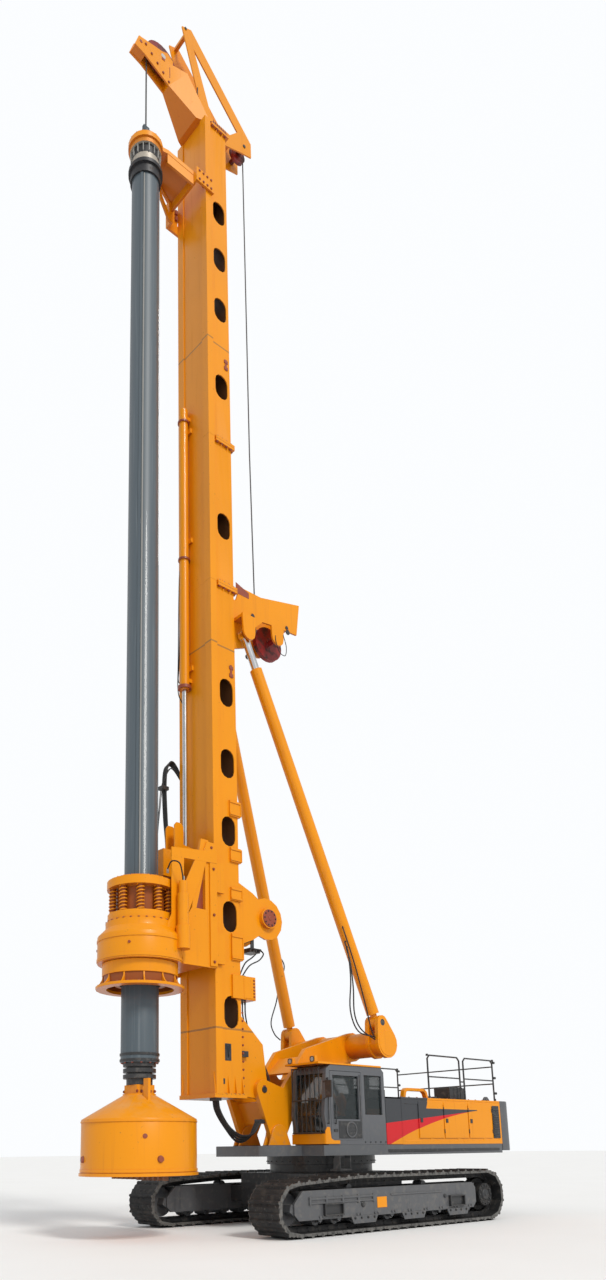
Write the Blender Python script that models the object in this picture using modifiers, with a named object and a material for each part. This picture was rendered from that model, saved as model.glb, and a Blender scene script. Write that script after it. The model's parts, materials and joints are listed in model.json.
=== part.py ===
"""Rotary piling rig: crawler undercarriage, slewing upper, boom, mast, rotary head, kelly and drilling bucket.

Metres, +Z up, +X towards the drill. The origin is on the ground, under the middle of the whole machine.
Places are measured from the slewing axis, and the rig empty carries them to the origin.
"""
import math

import bmesh
import bpy
from mathutils import Matrix, Vector

for old in list(bpy.data.objects):
    bpy.data.objects.remove(old, do_unlink=True)

# Clearances and facets
SEAT_GAP = 0.0003
RUNNING_GAP = 0.008
SINK = 0.02
OVERRUN = 0.05
MERGE = 0.00001
ROUND_SIDES = 24
SMALL_SIDES = 12

# Driving dimensions of the machine
TRACK_SPAN = 4.90
SHOE_WIDTH = 0.86
IDLER_X = 3.28
SPROCKET_X = -3.16
IDLER_TIP_RADIUS = 0.54
SPROCKET_TIP_RADIUS = 0.59
DECK_BOTTOM = 1.535
DECK_TOP = 1.76
UPPER_HALF_WIDTH = 1.63
TAIL_X = -5.77
HOOD_TOP = 2.85
CAB_FRONT = 1.56
CAB_REAR = -0.48
CAB_ROOF = 3.49
CAB_INNER_Y = 0.62
MAST_FRONT = 3.70
MAST_DEPTH = 0.77
MAST_HALF_WIDTH = 0.535
MAST_BOTTOM = 2.83
MAST_JOINT_LOW = 15.05
MAST_JOINT_HIGH = 19.15
MAST_TOP = 29.40
KELLY_X = 5.28
KELLY_RADIUS = 0.355
SLEEVE_RADIUS = 0.395
BORE_RADIUS = 0.43
BUCKET_RADIUS = 1.165
BUCKET_FLANGE = 0.03
BOOM_FOOT = (1.90, 1.98)
MAST_HINGE = (2.30, 2.97)
CROSS_TUBE = (-0.71, 4.09)
STAY_FOOT = (-0.56, 1.42, 4.57)
STAY_HEAD = (2.62, 0.55, 13.95)
MAST_REAR = MAST_FRONT - MAST_DEPTH
FRONT_REACH = KELLY_X + BUCKET_RADIUS + BUCKET_FLANGE
SLEW_X = (-TAIL_X - FRONT_REACH) / 2

rig = bpy.data.collections.new("rotary_piling_rig")
cutters = bpy.data.collections.new("cutters")
bpy.context.scene.collection.children.link(rig)
bpy.context.scene.collection.children.link(cutters)


def keep(name, mesh):
    """A loose piece that is not yet a named part."""
    piece = bpy.data.objects.new(name, mesh)
    cutters.objects.link(piece)
    return piece


def flatten(piece):
    """Applies a piece's modifiers, curve and place, and returns it as a plain welded mesh object."""
    bpy.context.view_layer.update()
    graph = bpy.context.evaluated_depsgraph_get()
    mesh = bpy.data.meshes.new_from_object(piece.evaluated_get(graph))
    mesh.transform(piece.matrix_world)
    work = bmesh.new()
    work.from_mesh(mesh)
    bmesh.ops.remove_doubles(work, verts=work.verts, dist=MERGE)
    work.to_mesh(mesh)
    work.free()
    name = piece.name
    bpy.data.objects.remove(piece, do_unlink=True)
    return keep(name, mesh)


def block(x, y, z):
    """A box between the two values of each pair."""
    work = bmesh.new()
    bmesh.ops.create_cube(work, size=1)
    size = Vector((x[1] - x[0], y[1] - y[0], z[1] - z[0]))
    middle = Vector((x[0] + x[1], y[0] + y[1], z[0] + z[1])) / 2
    bmesh.ops.scale(work, vec=size, verts=work.verts)
    bmesh.ops.translate(work, vec=middle, verts=work.verts)
    mesh = bpy.data.meshes.new("block")
    work.to_mesh(mesh)
    work.free()
    return keep("block", mesh)


def bar(start, end, radius, sides=SMALL_SIDES, end_radius=None):
    """A round bar, or a cone, between two points."""
    start, end = Vector(start), Vector(end)
    along = end - start
    work = bmesh.new()
    bmesh.ops.create_cone(work, cap_ends=True, segments=sides, radius1=radius,
                          radius2=radius if end_radius is None else end_radius, depth=along.length)
    turn = Vector((0, 0, 1)).rotation_difference(along).to_matrix().to_4x4()
    work.transform(Matrix.Translation((start + end) / 2) @ turn)
    mesh = bpy.data.meshes.new("bar")
    work.to_mesh(mesh)
    work.free()
    return keep("bar", mesh)


def turned(profile, centre, sides=ROUND_SIDES, axis="Z"):
    """A profile of (radius, height) points, closed and running down its outer side, screwed about an axis."""
    mesh = bpy.data.meshes.new("turned")
    count = len(profile)
    mesh.from_pydata([(r, 0, h) for r, h in profile], [(i, (i + 1) % count) for i in range(count)], [])
    piece = keep("turned", mesh)
    screw = piece.modifiers.new("Screw", "SCREW")
    screw.steps = sides
    screw.render_steps = sides
    screw.use_merge_vertices = True
    screw.merge_threshold = MERGE
    turns = {"Z": Matrix.Identity(4), "Y": Matrix.Rotation(-math.pi / 2, 4, "X"), "X": Matrix.Rotation(math.pi / 2, 4, "Y")}
    piece.matrix_world = Matrix.Translation(centre) @ turns[axis]
    return flatten(piece)


def ring(centre, outer, inner, low, high, sides=ROUND_SIDES, axis="Z"):
    """A flat ring; with no inner radius, a disc."""
    if inner:
        profile = [(outer, high), (outer, low), (inner, low), (inner, high)]
        return turned(profile, centre, sides, axis)
    shift = {"Z": Vector((0, 0, 1)), "Y": Vector((0, 1, 0)), "X": Vector((1, 0, 0))}[axis]
    return bar(Vector(centre) + shift * low, Vector(centre) + shift * high, outer, sides)


def arc(centre, radius, first, last, steps):
    """Points on an arc, its angles in degrees."""
    return [(centre[0] + radius * math.cos(math.radians(first + (last - first) * i / steps)),
             centre[1] + radius * math.sin(math.radians(first + (last - first) * i / steps)))
            for i in range(steps + 1)]


def plate(outline, plane, low, high, holes=()):
    """A flat outline, with holes, made thick from low to high across its plane."""
    curve = bpy.data.curves.new("plate", "CURVE")
    curve.dimensions = "2D"
    curve.fill_mode = "BOTH"
    curve.extrude = (high - low) / 2
    for points in [outline, *holes]:
        spline = curve.splines.new("POLY")
        spline.points.add(len(points) - 1)
        for point, place in zip(spline.points, points):
            point.co = (place[0], place[1], 0, 1)
        spline.use_cyclic_u = True
    piece = bpy.data.objects.new("plate", curve)
    cutters.objects.link(piece)
    middle = (low + high) / 2
    if plane == "XZ":
        piece.matrix_world = Matrix.Translation((0, middle, 0)) @ Matrix.Rotation(math.pi / 2, 4, "X")
    elif plane == "YZ":
        turn = Matrix(((0, 0, 1, 0), (1, 0, 0, 0), (0, 1, 0, 0), (0, 0, 0, 1)))
        piece.matrix_world = Matrix.Translation((middle, 0, 0)) @ turn
    else:
        piece.matrix_world = Matrix.Translation((0, 0, middle))
    return flatten(piece)


def pipe(points, radius, resolution=1):
    """A bent round tube or rail through its points."""
    curve = bpy.data.curves.new("pipe", "CURVE")
    curve.dimensions = "3D"
    curve.bevel_depth = radius
    curve.bevel_resolution = resolution
    curve.use_fill_caps = True
    spline = curve.splines.new("POLY")
    spline.points.add(len(points) - 1)
    for point, place in zip(spline.points, points):
        point.co = (*place, 1)
    piece = bpy.data.objects.new("pipe", curve)
    cutters.objects.link(piece)
    return flatten(piece)


def combine(base, others, operation, solver="EXACT"):
    """Joins or cuts base with each of the others in turn."""
    for index, other in enumerate(others):
        modifier = base.modifiers.new(f"{operation}{index}", "BOOLEAN")
        modifier.operation = operation
        modifier.solver = solver
        modifier.object = other
    result = flatten(base)
    for other in others:
        bpy.data.objects.remove(other, do_unlink=True)
    return result


def fuse(*pieces):
    return combine(pieces[0], pieces[1:], "UNION")


def cut(base, *tools):
    return combine(base, tools, "DIFFERENCE")


def mirrored(piece):
    """A copy on the other side of the machine."""
    mesh = piece.data.copy()
    mesh.transform(Matrix.Scale(-1, 4, (0, 1, 0)))
    mesh.flip_normals()
    return keep("mirrored", mesh)


# Joint axes, as empties in a tree. Columns: name, parent, place from the slewing axis
pivots = {}


def pivot(name, parent, place):
    empty = bpy.data.objects.new(name, None)
    rig.objects.link(empty)
    pivots[name] = (empty, Vector(place))
    if parent:
        empty.parent = pivots[parent][0]
        empty.location = Vector(place) - pivots[parent][1]
    return empty


pivot("rig", None, (0, 0, 0)).location = (SLEW_X, 0, 0)


def part(name, piece, axis_name, colour, roughness, metallic=0.0, alpha=1.0):
    """Names a finished piece, gives it its material and hangs it on its joint's empty."""
    mesh = piece.data
    bpy.data.objects.remove(piece, do_unlink=True)
    empty, place = pivots[axis_name]
    mesh.transform(Matrix.Translation(-place))
    mesh.shade_smooth()
    mesh.set_sharp_from_angle(angle=math.radians(30))
    made = bpy.data.objects.new(name, mesh)
    made.parent = empty
    rig.objects.link(made)
    material = bpy.data.materials.new(name)
    material.use_nodes = True
    shader = material.node_tree.nodes["Principled BSDF"]
    shader.inputs["Base Color"].default_value = (*colour, 1)
    shader.inputs["Roughness"].default_value = roughness
    shader.inputs["Metallic"].default_value = metallic
    shader.inputs["Alpha"].default_value = alpha
    mesh.materials.clear()
    mesh.materials.append(material)
    return made


def pair(name, left, *finish):
    """The same piece on both sides of the machine, as two named parts."""
    right = mirrored(left)
    part(name + "_left", left, *finish)
    part(name + "_right", right, *finish)


YELLOW = (0.85, 0.42, 0.02)
DARK = (0.035, 0.037, 0.04)
GREY = (0.11, 0.12, 0.13)
KELLY_GREY = (0.13, 0.17, 0.20)
RED = (0.35, 0.02, 0.02)
CHROME = (0.7, 0.7, 0.72)
GLASS = (0.05, 0.07, 0.08)

# Tracks: one closed loop of shoes with a grouser each, on a narrower chain
SHOES = 54
GROUSER = 0.13
PAD_OUT = 0.09
PAD_IN = 0.035
NOTCH = 0.062
CHAIN_OUT = 0.048
CHAIN_IN = 0.07
CHAIN_WIDTH = 0.30
TRACK_Y = (TRACK_SPAN - SHOE_WIDTH) / 2
CARRIER_XS = (1.45, -1.05)
IDLER_PITCH = IDLER_TIP_RADIUS - GROUSER
SPROCKET_PITCH = SPROCKET_TIP_RADIUS - GROUSER
TOP_PITCH_Z = SPROCKET_TIP_RADIUS + SPROCKET_PITCH
# Columns: place along the shoe as a share of the pitch, height off the pin line
SHOE_OUTLINE = [(-0.44, PAD_OUT), (-0.22, PAD_OUT), (-0.14, GROUSER), (-0.02, GROUSER), (0.06, PAD_OUT), (0.44, PAD_OUT), (0.5, NOTCH)]


def track_path():
    """Corner points of the pin line and the round turns, as (x, z, outward angle) samples one pitch apart."""
    lean = math.atan2(TOP_PITCH_Z - IDLER_TIP_RADIUS - IDLER_PITCH, IDLER_X - CARRIER_XS[0])
    pieces = [("line", (SPROCKET_X, GROUSER), (IDLER_X, GROUSER), -math.pi / 2),
              ("arc", (IDLER_X, IDLER_TIP_RADIUS), IDLER_PITCH, -math.pi / 2, math.pi / 2 - lean),
              ("line", None, (CARRIER_XS[0], TOP_PITCH_Z), math.pi / 2 - lean),
              ("line", (CARRIER_XS[0], TOP_PITCH_Z), (SPROCKET_X, TOP_PITCH_Z), math.pi / 2),
              ("arc", (SPROCKET_X, SPROCKET_TIP_RADIUS), SPROCKET_PITCH, math.pi / 2, 3 * math.pi / 2)]
    runs = []
    last = None
    for kind, *values in pieces:
        if kind == "line":
            start, end, angle = values
            start = start or last
            length = math.dist(start, end)
            runs.append((length, kind, start, end, angle))
            last = end
        else:
            centre, radius, first, second = values
            length = radius * (second - first)
            runs.append((length, kind, centre, radius, (first, second)))
            last = (centre[0] + radius * math.cos(second), centre[1] + radius * math.sin(second))
    return runs


def along_track(runs, share):
    """The place and outward angle at a share of the loop's length."""
    left = (share % 1) * sum(run[0] for run in runs)
    for length, kind, first, second, third in runs:
        if left <= length:
            ratio = left / length
            if kind == "line":
                return first[0] + (second[0] - first[0]) * ratio, first[1] + (second[1] - first[1]) * ratio, third
            angle = third[0] + (third[1] - third[0]) * ratio
            return first[0] + second * math.cos(angle), first[1] + second * math.sin(angle), angle
        left -= length
    return along_track(runs, 0)


def track():
    runs = track_path()
    pitch = sum(run[0] for run in runs) / SHOES
    outer, pad_inner, chain_outer, chain_inner = [], [], [], []
    for shoe in range(SHOES):
        x, z, angle = along_track(runs, shoe / SHOES)
        normal = Vector((math.cos(angle), math.sin(angle)))
        tangent = Vector((-normal.y, normal.x))
        pin = Vector((x, z))
        for share, height in SHOE_OUTLINE:
            outer.append(pin + tangent * share * pitch + normal * height)
        pad_inner.append(pin + normal * PAD_IN)
        chain_outer.append(pin + normal * CHAIN_OUT)
        chain_inner.append(pin - normal * CHAIN_IN)
    half = SHOE_WIDTH / 2
    pads = plate(outer, "XZ", TRACK_Y - half, TRACK_Y + half, [pad_inner])
    chain = plate(chain_outer, "XZ", TRACK_Y - CHAIN_WIDTH / 2, TRACK_Y + CHAIN_WIDTH / 2, [chain_inner])
    return combine(pads, [chain], "UNION", "MANIFOLD"), pitch


track_left, TRACK_PITCH = track()
pair("track", track_left, "rig", DARK, 0.6, 0.4)

# Side frames: a box between an inner and an outer plate, which hold the roller axles
FRAME_PLATE = 0.06
FRAME_INNER_Y = TRACK_Y - 0.35
FRAME_OUTER_Y = TRACK_Y + 0.35
FRAME_TOP = 0.886
FRAME_LOW = 0.325
BOX_LOW = 0.52
FRAME_REAR = -2.70
FRAME_FRONT = 3.30
NOSE_DROP = 0.12
AXLE_RADIUS = 0.06
CARRIER_RADIUS = 0.09
CARRIER_HALF_WIDTH = 0.12
CARRIER_POST = 0.05
CARRIER_Z = TOP_PITCH_Z - CHAIN_IN - CARRIER_RADIUS - RUNNING_GAP
DRIVE_RADIUS = 0.30
inner_plate = [(FRAME_REAR, FRAME_LOW), (FRAME_FRONT - NOSE_DROP, FRAME_LOW), (FRAME_FRONT, FRAME_LOW + NOSE_DROP),
               (FRAME_FRONT, FRAME_TOP - 2 * NOSE_DROP), (FRAME_FRONT - 2 * NOSE_DROP, FRAME_TOP), (FRAME_REAR, FRAME_TOP),
               *arc((SPROCKET_X, SPROCKET_TIP_RADIUS), DRIVE_RADIUS, 90, 270, 8)]
outer_plate = [(FRAME_REAR, FRAME_LOW + NOSE_DROP), (FRAME_REAR + NOSE_DROP, FRAME_LOW),
               (FRAME_FRONT - NOSE_DROP, FRAME_LOW), (FRAME_FRONT, FRAME_LOW + NOSE_DROP),
               (FRAME_FRONT, FRAME_TOP - 2 * NOSE_DROP), (FRAME_FRONT - 2 * NOSE_DROP, FRAME_TOP),
               (FRAME_REAR + NOSE_DROP, FRAME_TOP), (FRAME_REAR, FRAME_TOP - NOSE_DROP)]
IDLER_ROOM = 0.42
# Running gear: rollers, carriers and idler on axles in the frame plates, so fused with the frame
ROLLERS = 10
ROLLER_SIDES = 10
ROLLER_RADIUS = 0.12
ROLLER_HALF_WIDTH = 0.17
WHEEL_HALF_WIDTH = 0.09
ROLLER_FIRST_X = -2.45
ROLLER_LAST_X = 2.55
ROLLER_Z = GROUSER + CHAIN_IN + ROLLER_RADIUS + SEAT_GAP
CHORD = math.cos(TRACK_PITCH / IDLER_PITCH / 2)
IDLER_RADIUS = (IDLER_PITCH - CHAIN_IN) * CHORD - SEAT_GAP
SPROCKET_RADIUS = (SPROCKET_PITCH - CHAIN_IN) * CHORD - SEAT_GAP
DRIVE_COVER_RADIUS = 0.26
DRIVE_COVER = 0.30


def wheel(x, z, radius, half_width, axle, sides):
    """A wheel on an axle that is held by both frame plates."""
    reach = FRAME_OUTER_Y - FRAME_PLATE - TRACK_Y + SINK
    return fuse(ring((x, TRACK_Y, z), radius, 0, -half_width, half_width, sides, "Y"),
                ring((x, TRACK_Y, z), axle, 0, -reach, reach, ROLLER_SIDES // 2, "Y"))


gear = [wheel(ROLLER_FIRST_X + (ROLLER_LAST_X - ROLLER_FIRST_X) * i / (ROLLERS - 1), ROLLER_Z, ROLLER_RADIUS,
              ROLLER_HALF_WIDTH, AXLE_RADIUS, ROLLER_SIDES) for i in range(ROLLERS)]
gear.append(wheel(IDLER_X, IDLER_TIP_RADIUS, IDLER_RADIUS, WHEEL_HALF_WIDTH, 2 * AXLE_RADIUS, ROUND_SIDES))
gear += [ring((x, TRACK_Y, CARRIER_Z), CARRIER_RADIUS, 0, -CARRIER_HALF_WIDTH, CARRIER_HALF_WIDTH, SMALL_SIDES, "Y")
         for x in CARRIER_XS]
gear += [block((x - CARRIER_POST, x + CARRIER_POST), (TRACK_Y - CARRIER_HALF_WIDTH / 2, TRACK_Y + CARRIER_HALF_WIDTH / 2),
               (FRAME_TOP - 2 * SINK, CARRIER_Z)) for x in CARRIER_XS]
frame = fuse(
    plate(inner_plate, "XZ", FRAME_INNER_Y, FRAME_INNER_Y + FRAME_PLATE),
    plate(outer_plate, "XZ", FRAME_OUTER_Y - FRAME_PLATE, FRAME_OUTER_Y),
    block((FRAME_REAR + SINK, IDLER_X - IDLER_ROOM), (FRAME_INNER_Y + SINK, FRAME_OUTER_Y - SINK), (BOX_LOW, FRAME_TOP - SINK)),
    *gear)
pair("side_frame", frame, "rig", GREY, 0.5, 0.3)

# Drive sprockets: a wheel in the track's rear turn on its round drive case
sprocket = fuse(
    ring((SPROCKET_X, TRACK_Y, SPROCKET_TIP_RADIUS), SPROCKET_RADIUS, 0, -WHEEL_HALF_WIDTH, WHEEL_HALF_WIDTH, ROUND_SIDES, "Y"),
    ring((SPROCKET_X, TRACK_Y, SPROCKET_TIP_RADIUS), DRIVE_COVER_RADIUS, 0,
         FRAME_INNER_Y + FRAME_PLATE + SEAT_GAP - TRACK_Y, DRIVE_COVER, ROUND_SIDES, "Y"))
pair("sprocket", sprocket, "rig", DARK, 0.5, 0.6)

# Car body: a box between the side frames, with four arms and the round seat of the slewing ring
BODY_HALF = (1.45, 1.22)
BODY_Z = (0.44, 1.16)
ARM_X = 0.98
ARM_HALF = 0.40
ARM_Z = (0.50, 0.86)
SEAT_RADIUS = 1.20
RING_RADIUS = 1.27
RING_BORE = 0.95
RING_Z = (1.345, DECK_BOTTOM - SEAT_GAP)
car_body = fuse(
    block((-BODY_HALF[0], BODY_HALF[0]), (-BODY_HALF[1], BODY_HALF[1]), BODY_Z),
    *[block((x - ARM_HALF, x + ARM_HALF), (-FRAME_INNER_Y + SEAT_GAP, FRAME_INNER_Y - SEAT_GAP), ARM_Z) for x in (ARM_X, -ARM_X)],
    ring((0, 0, 0), SEAT_RADIUS, 0, BODY_Z[1] - SINK, RING_Z[0] - SEAT_GAP, ROUND_SIDES))
part("car_body", car_body, "rig", DARK, 0.5, 0.3)
part("slew_ring", ring((0, 0, 0), RING_RADIUS, RING_BORE, *RING_Z, 36), "rig", DARK, 0.4, 0.7)

# Deck: the slewing platform, wide behind and narrow in front, with lugs for the boom foot
pivot("slew", "rig", (0, 0, DECK_BOTTOM))
DECK_REAR = -5.12
DECK_NOSE = 2.65
NOSE_HALF = 0.95
NOSE_CHAMFER = 0.25
BOOM_PLATE_Y = (0.43, 0.55)
LUG_THICK = 0.05
LUG_RADIUS = 0.24
PIN_RADIUS = 0.09
LUFF_FOOT = (-1.55, 2.06)
LUFF_HEAD = (-0.62, 3.56)
LUFF_Y = 0.25
LUFF_EYE_HALF = 0.07
deck_outline = [(DECK_REAR, -UPPER_HALF_WIDTH), (CAB_FRONT + OVERRUN, -UPPER_HALF_WIDTH), (CAB_FRONT + OVERRUN, -NOSE_HALF),
                (DECK_NOSE - NOSE_CHAMFER, -NOSE_HALF), (DECK_NOSE, -NOSE_HALF + NOSE_CHAMFER),
                (DECK_NOSE, NOSE_HALF - NOSE_CHAMFER), (DECK_NOSE - NOSE_CHAMFER, NOSE_HALF),
                (CAB_FRONT + OVERRUN, NOSE_HALF), (CAB_FRONT + OVERRUN, UPPER_HALF_WIDTH), (DECK_REAR, UPPER_HALF_WIDTH)]


def lug(eye, base_z, spread, y_low, radius=LUG_RADIUS, thick=LUG_THICK):
    """An upright ear with a round top about its eye, standing on a flat base."""
    x, z = eye
    outline = [(x - spread, base_z), (x + spread, base_z), *arc(eye, radius, 0, 180, 8)]
    return plate(outline, "XZ", y_low, y_low + thick)


def lug_pairs(eye, base_z, spread, inner, outer, radius=LUG_RADIUS):
    """Ears on both sides of a plate that lies from inner to outer, mirrored to the other side of the machine."""
    ears = []
    for y in (inner - SEAT_GAP - LUG_THICK, outer + SEAT_GAP):
        ears += [lug(eye, base_z, spread, y, radius), lug(eye, base_z, spread, -y - LUG_THICK, radius)]
    return ears


deck = fuse(plate(deck_outline, "XY", DECK_BOTTOM, DECK_TOP),
            *lug_pairs(BOOM_FOOT, DECK_TOP - SINK, 0.34, *BOOM_PLATE_Y),
            *lug_pairs(LUFF_FOOT, DECK_TOP - SINK, 0.26, LUFF_Y - LUFF_EYE_HALF, LUFF_Y + LUFF_EYE_HALF, 0.16))
part("deck", deck, "slew", GREY, 0.5, 0.2)

# Counterweight: a cast block across the tail, with rounded rear corners and a part that reaches in under the hood
WEIGHT_CORNER = 0.42
WEIGHT_STEP = 0.62
WEIGHT_LOW = 1.59
WEIGHT_REACH = 0.85
WEIGHT_SIDE_GAP = 0.08
WEIGHT_TOP_GAP = 0.10
HOOD_PANEL = 0.05
HOOD_REAR = TAIL_X + WEIGHT_STEP
INSET = 0.03
INSET_HALF = 0.62
INSET_Z_SHARES = (0.16, 0.66)
weight_outline = [(HOOD_REAR, UPPER_HALF_WIDTH),
                  *arc((TAIL_X + WEIGHT_CORNER, UPPER_HALF_WIDTH - WEIGHT_CORNER), WEIGHT_CORNER, 90, 180, 6),
                  *arc((TAIL_X + WEIGHT_CORNER, -UPPER_HALF_WIDTH + WEIGHT_CORNER), WEIGHT_CORNER, 180, 270, 6),
                  (HOOD_REAR, -UPPER_HALF_WIDTH)]
weight_half = UPPER_HALF_WIDTH - HOOD_PANEL - WEIGHT_SIDE_GAP
weight_height = HOOD_TOP - WEIGHT_LOW
inset_z = tuple(WEIGHT_LOW + share * weight_height for share in INSET_Z_SHARES)
counterweight = cut(
    fuse(plate(weight_outline, "XY", WEIGHT_LOW, HOOD_TOP),
         block((HOOD_REAR - SINK, HOOD_REAR + WEIGHT_REACH), (-weight_half, weight_half),
               (DECK_TOP + SEAT_GAP, HOOD_TOP - WEIGHT_TOP_GAP))),
    block((TAIL_X - OVERRUN, TAIL_X + INSET), (-INSET_HALF, INSET_HALF), inset_z))
part("counterweight", counterweight, "slew", GREY, 0.55, 0.1)

# Engine: one plain block on the deck, where the hood hides it
ENGINE_REAR = -3.90
ENGINE_LENGTH = 1.60
ENGINE_HALF = 0.60
ENGINE_HEIGHT = 0.90
engine = block((ENGINE_REAR, ENGINE_REAR + ENGINE_LENGTH), (-ENGINE_HALF, ENGINE_HALF),
               (DECK_TOP + SEAT_GAP, DECK_TOP + ENGINE_HEIGHT))
part("engine_block", engine, "slew", DARK, 0.5, 0.5)

# Hood: two sides with sunk doors and a roof of bent panels, open in the middle of its front for the luffing gear
HOOD_FRONT = -1.05
BAY_REAR = -1.95
BAY_HALF = 0.57
DOOR_SUNK = 0.012
DOOR_SIDE_SHARES = ((0.03, 0.17), (0.20, 0.44), (0.47, 0.71), (0.74, 0.97))
DOOR_HEIGHT_SHARES = (0.08, 0.90)
hood_rear = HOOD_REAR + SEAT_GAP
hood_z = (DECK_TOP + SEAT_GAP, HOOD_TOP - HOOD_PANEL)
hood_length = HOOD_FRONT - hood_rear
hood_height = hood_z[1] - hood_z[0]
door_band = tuple(hood_z[0] + share * hood_height for share in DOOR_HEIGHT_SHARES)
hood_side = cut(
    fuse(block((hood_rear, HOOD_FRONT), (UPPER_HALF_WIDTH - HOOD_PANEL, UPPER_HALF_WIDTH), hood_z),
         block((HOOD_FRONT - HOOD_PANEL, HOOD_FRONT), (BAY_HALF + SINK, UPPER_HALF_WIDTH - SINK), hood_z),
         block((BAY_REAR - SINK, HOOD_FRONT - SINK), (BAY_HALF, BAY_HALF + HOOD_PANEL), hood_z),
         block((BAY_REAR - HOOD_PANEL, BAY_REAR), (SEAT_GAP, BAY_HALF + SINK), hood_z)),
    *[block((hood_rear + first * hood_length, hood_rear + last * hood_length),
            (UPPER_HALF_WIDTH - DOOR_SUNK, UPPER_HALF_WIDTH + OVERRUN), door_band)
      for first, last in DOOR_SIDE_SHARES])
pair("hood", hood_side, "slew", YELLOW, 0.35)
roof_half = [(hood_rear, UPPER_HALF_WIDTH), (HOOD_FRONT, UPPER_HALF_WIDTH), (HOOD_FRONT, BAY_HALF), (BAY_REAR, BAY_HALF)]
roof_outline = roof_half + [(x, -y) for x, y in reversed(roof_half)]
part("hood_roof", plate(roof_outline, "XY", HOOD_TOP - HOOD_PANEL + SEAT_GAP, HOOD_TOP), "slew", YELLOW, 0.35)

# Exhaust: a silencer box on the roof's far side with its stack, and the air intake's box before it
SILENCER_X = (-3.05, -2.35)
SILENCER_Y = (-1.05, -0.45)
SILENCER_HEIGHT = 0.34
INTAKE_LENGTH = 0.75
INTAKE_HEIGHT = 0.20
INTAKE_MARGIN = 0.10
STACK_RADIUS = 0.09
STACK_HEIGHT = 0.85
STACK_BACK = 0.25
silencer_middle = (SILENCER_Y[0] + SILENCER_Y[1]) / 2
roof_seat = HOOD_TOP + SEAT_GAP
exhaust = fuse(
    block(SILENCER_X, SILENCER_Y, (roof_seat, HOOD_TOP + SILENCER_HEIGHT)),
    block((SILENCER_X[1] - SINK, SILENCER_X[1] - SINK + INTAKE_LENGTH),
          (SILENCER_Y[0] + INTAKE_MARGIN, SILENCER_Y[1] - INTAKE_MARGIN), (roof_seat, HOOD_TOP + INTAKE_HEIGHT)),
    bar((SILENCER_X[1] - STACK_BACK, silencer_middle, HOOD_TOP + SILENCER_HEIGHT - SINK),
        (SILENCER_X[1] - STACK_BACK, silencer_middle, HOOD_TOP + STACK_HEIGHT), STACK_RADIUS))
part("exhaust", exhaust, "slew", DARK, 0.5, 0.4)

# Handrails round the roof: hoops on both sides, tied to each other and across the tail
RAIL_RADIUS = 0.022
BRACE_RADIUS = 0.019
RAIL_HEIGHT = 1.05
RAIL_INSET = 0.06
RAIL_BEND = 0.08
HOOP_LENGTH = 1.30
HOOP_SPACING = 1.475
HOOP_MIDDLE = -2.90
rail_y = UPPER_HALF_WIDTH - RAIL_INSET
rail_top = HOOD_TOP + RAIL_HEIGHT
rail_mid = HOOD_TOP + RAIL_HEIGHT / 2
hoops = [(middle - HOOP_LENGTH / 2, middle + HOOP_LENGTH / 2) for middle in (HOOP_MIDDLE, HOOP_MIDDLE - HOOP_SPACING)]


def hoop(x_first, x_last, y):
    """An upright hoop on the roof with a bar across its middle."""
    outline = pipe([(x_first, y, roof_seat), (x_first, y, rail_top - RAIL_BEND), (x_first + RAIL_BEND, y, rail_top),
                    (x_last - RAIL_BEND, y, rail_top), (x_last, y, rail_top - RAIL_BEND), (x_last, y, roof_seat)],
                   RAIL_RADIUS)
    return fuse(outline, pipe([(x_first, y, rail_mid), (x_last, y, rail_mid)], BRACE_RADIUS))


tie_z = rail_mid - RAIL_BEND
ties = [pipe([(hoops[1][1], side * rail_y, tie_z), (hoops[0][0], side * rail_y, tie_z)], BRACE_RADIUS) for side in (1, -1)]
ties += [pipe([(hoops[1][0], -rail_y, z), (hoops[1][0], rail_y, z)], BRACE_RADIUS) for z in (tie_z, rail_top - 2 * RAIL_BEND)]
handrails = fuse(*[hoop(first, last, side * rail_y) for first, last in hoops for side in (1, -1)], *ties)
part("handrails", handrails, "slew", DARK, 0.4, 0.5)

# Cab: a hollow shell of roof, floor, posts and rear wall, its windows and its doorway cut through
CAB_WALL = 0.05
CAB_LEAN = 0.10
CAB_CORNER = 0.10
BROW_LENGTH = 0.24
WAIST_HEIGHT = 0.66
HEADER_DROP = 0.19
MULLION = 0.10
SCREEN_DEPTH = 0.30
SILL = 0.10
DOOR_X = (0.32, 1.36)
DOOR_TOP_DROP = 0.13
cab_low = DECK_TOP + SEAT_GAP
cab_outer_y = UPPER_HALF_WIDTH
waist_z = DECK_TOP + WAIST_HEIGHT
header_z = CAB_ROOF - HEADER_DROP
doorway_z = (cab_low + SILL, CAB_ROOF - DOOR_TOP_DROP)
nose_x = CAB_FRONT - CAB_LEAN
cab_profile = [(CAB_REAR, cab_low), (nose_x, cab_low), (CAB_FRONT, waist_z), (nose_x, CAB_ROOF - CAB_CORNER),
               (CAB_FRONT - BROW_LENGTH, CAB_ROOF), (CAB_REAR + CAB_CORNER, CAB_ROOF), (CAB_REAR, CAB_ROOF - CAB_CORNER)]
room_top = CAB_ROOF - CAB_CORNER - CAB_WALL
cab_room = [(CAB_REAR + CAB_WALL, cab_low + CAB_WALL), (nose_x - CAB_WALL, cab_low + CAB_WALL),
            (CAB_FRONT - CAB_WALL, waist_z), (nose_x - CAB_WALL, room_top), (CAB_REAR + CAB_WALL, room_top)]
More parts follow.
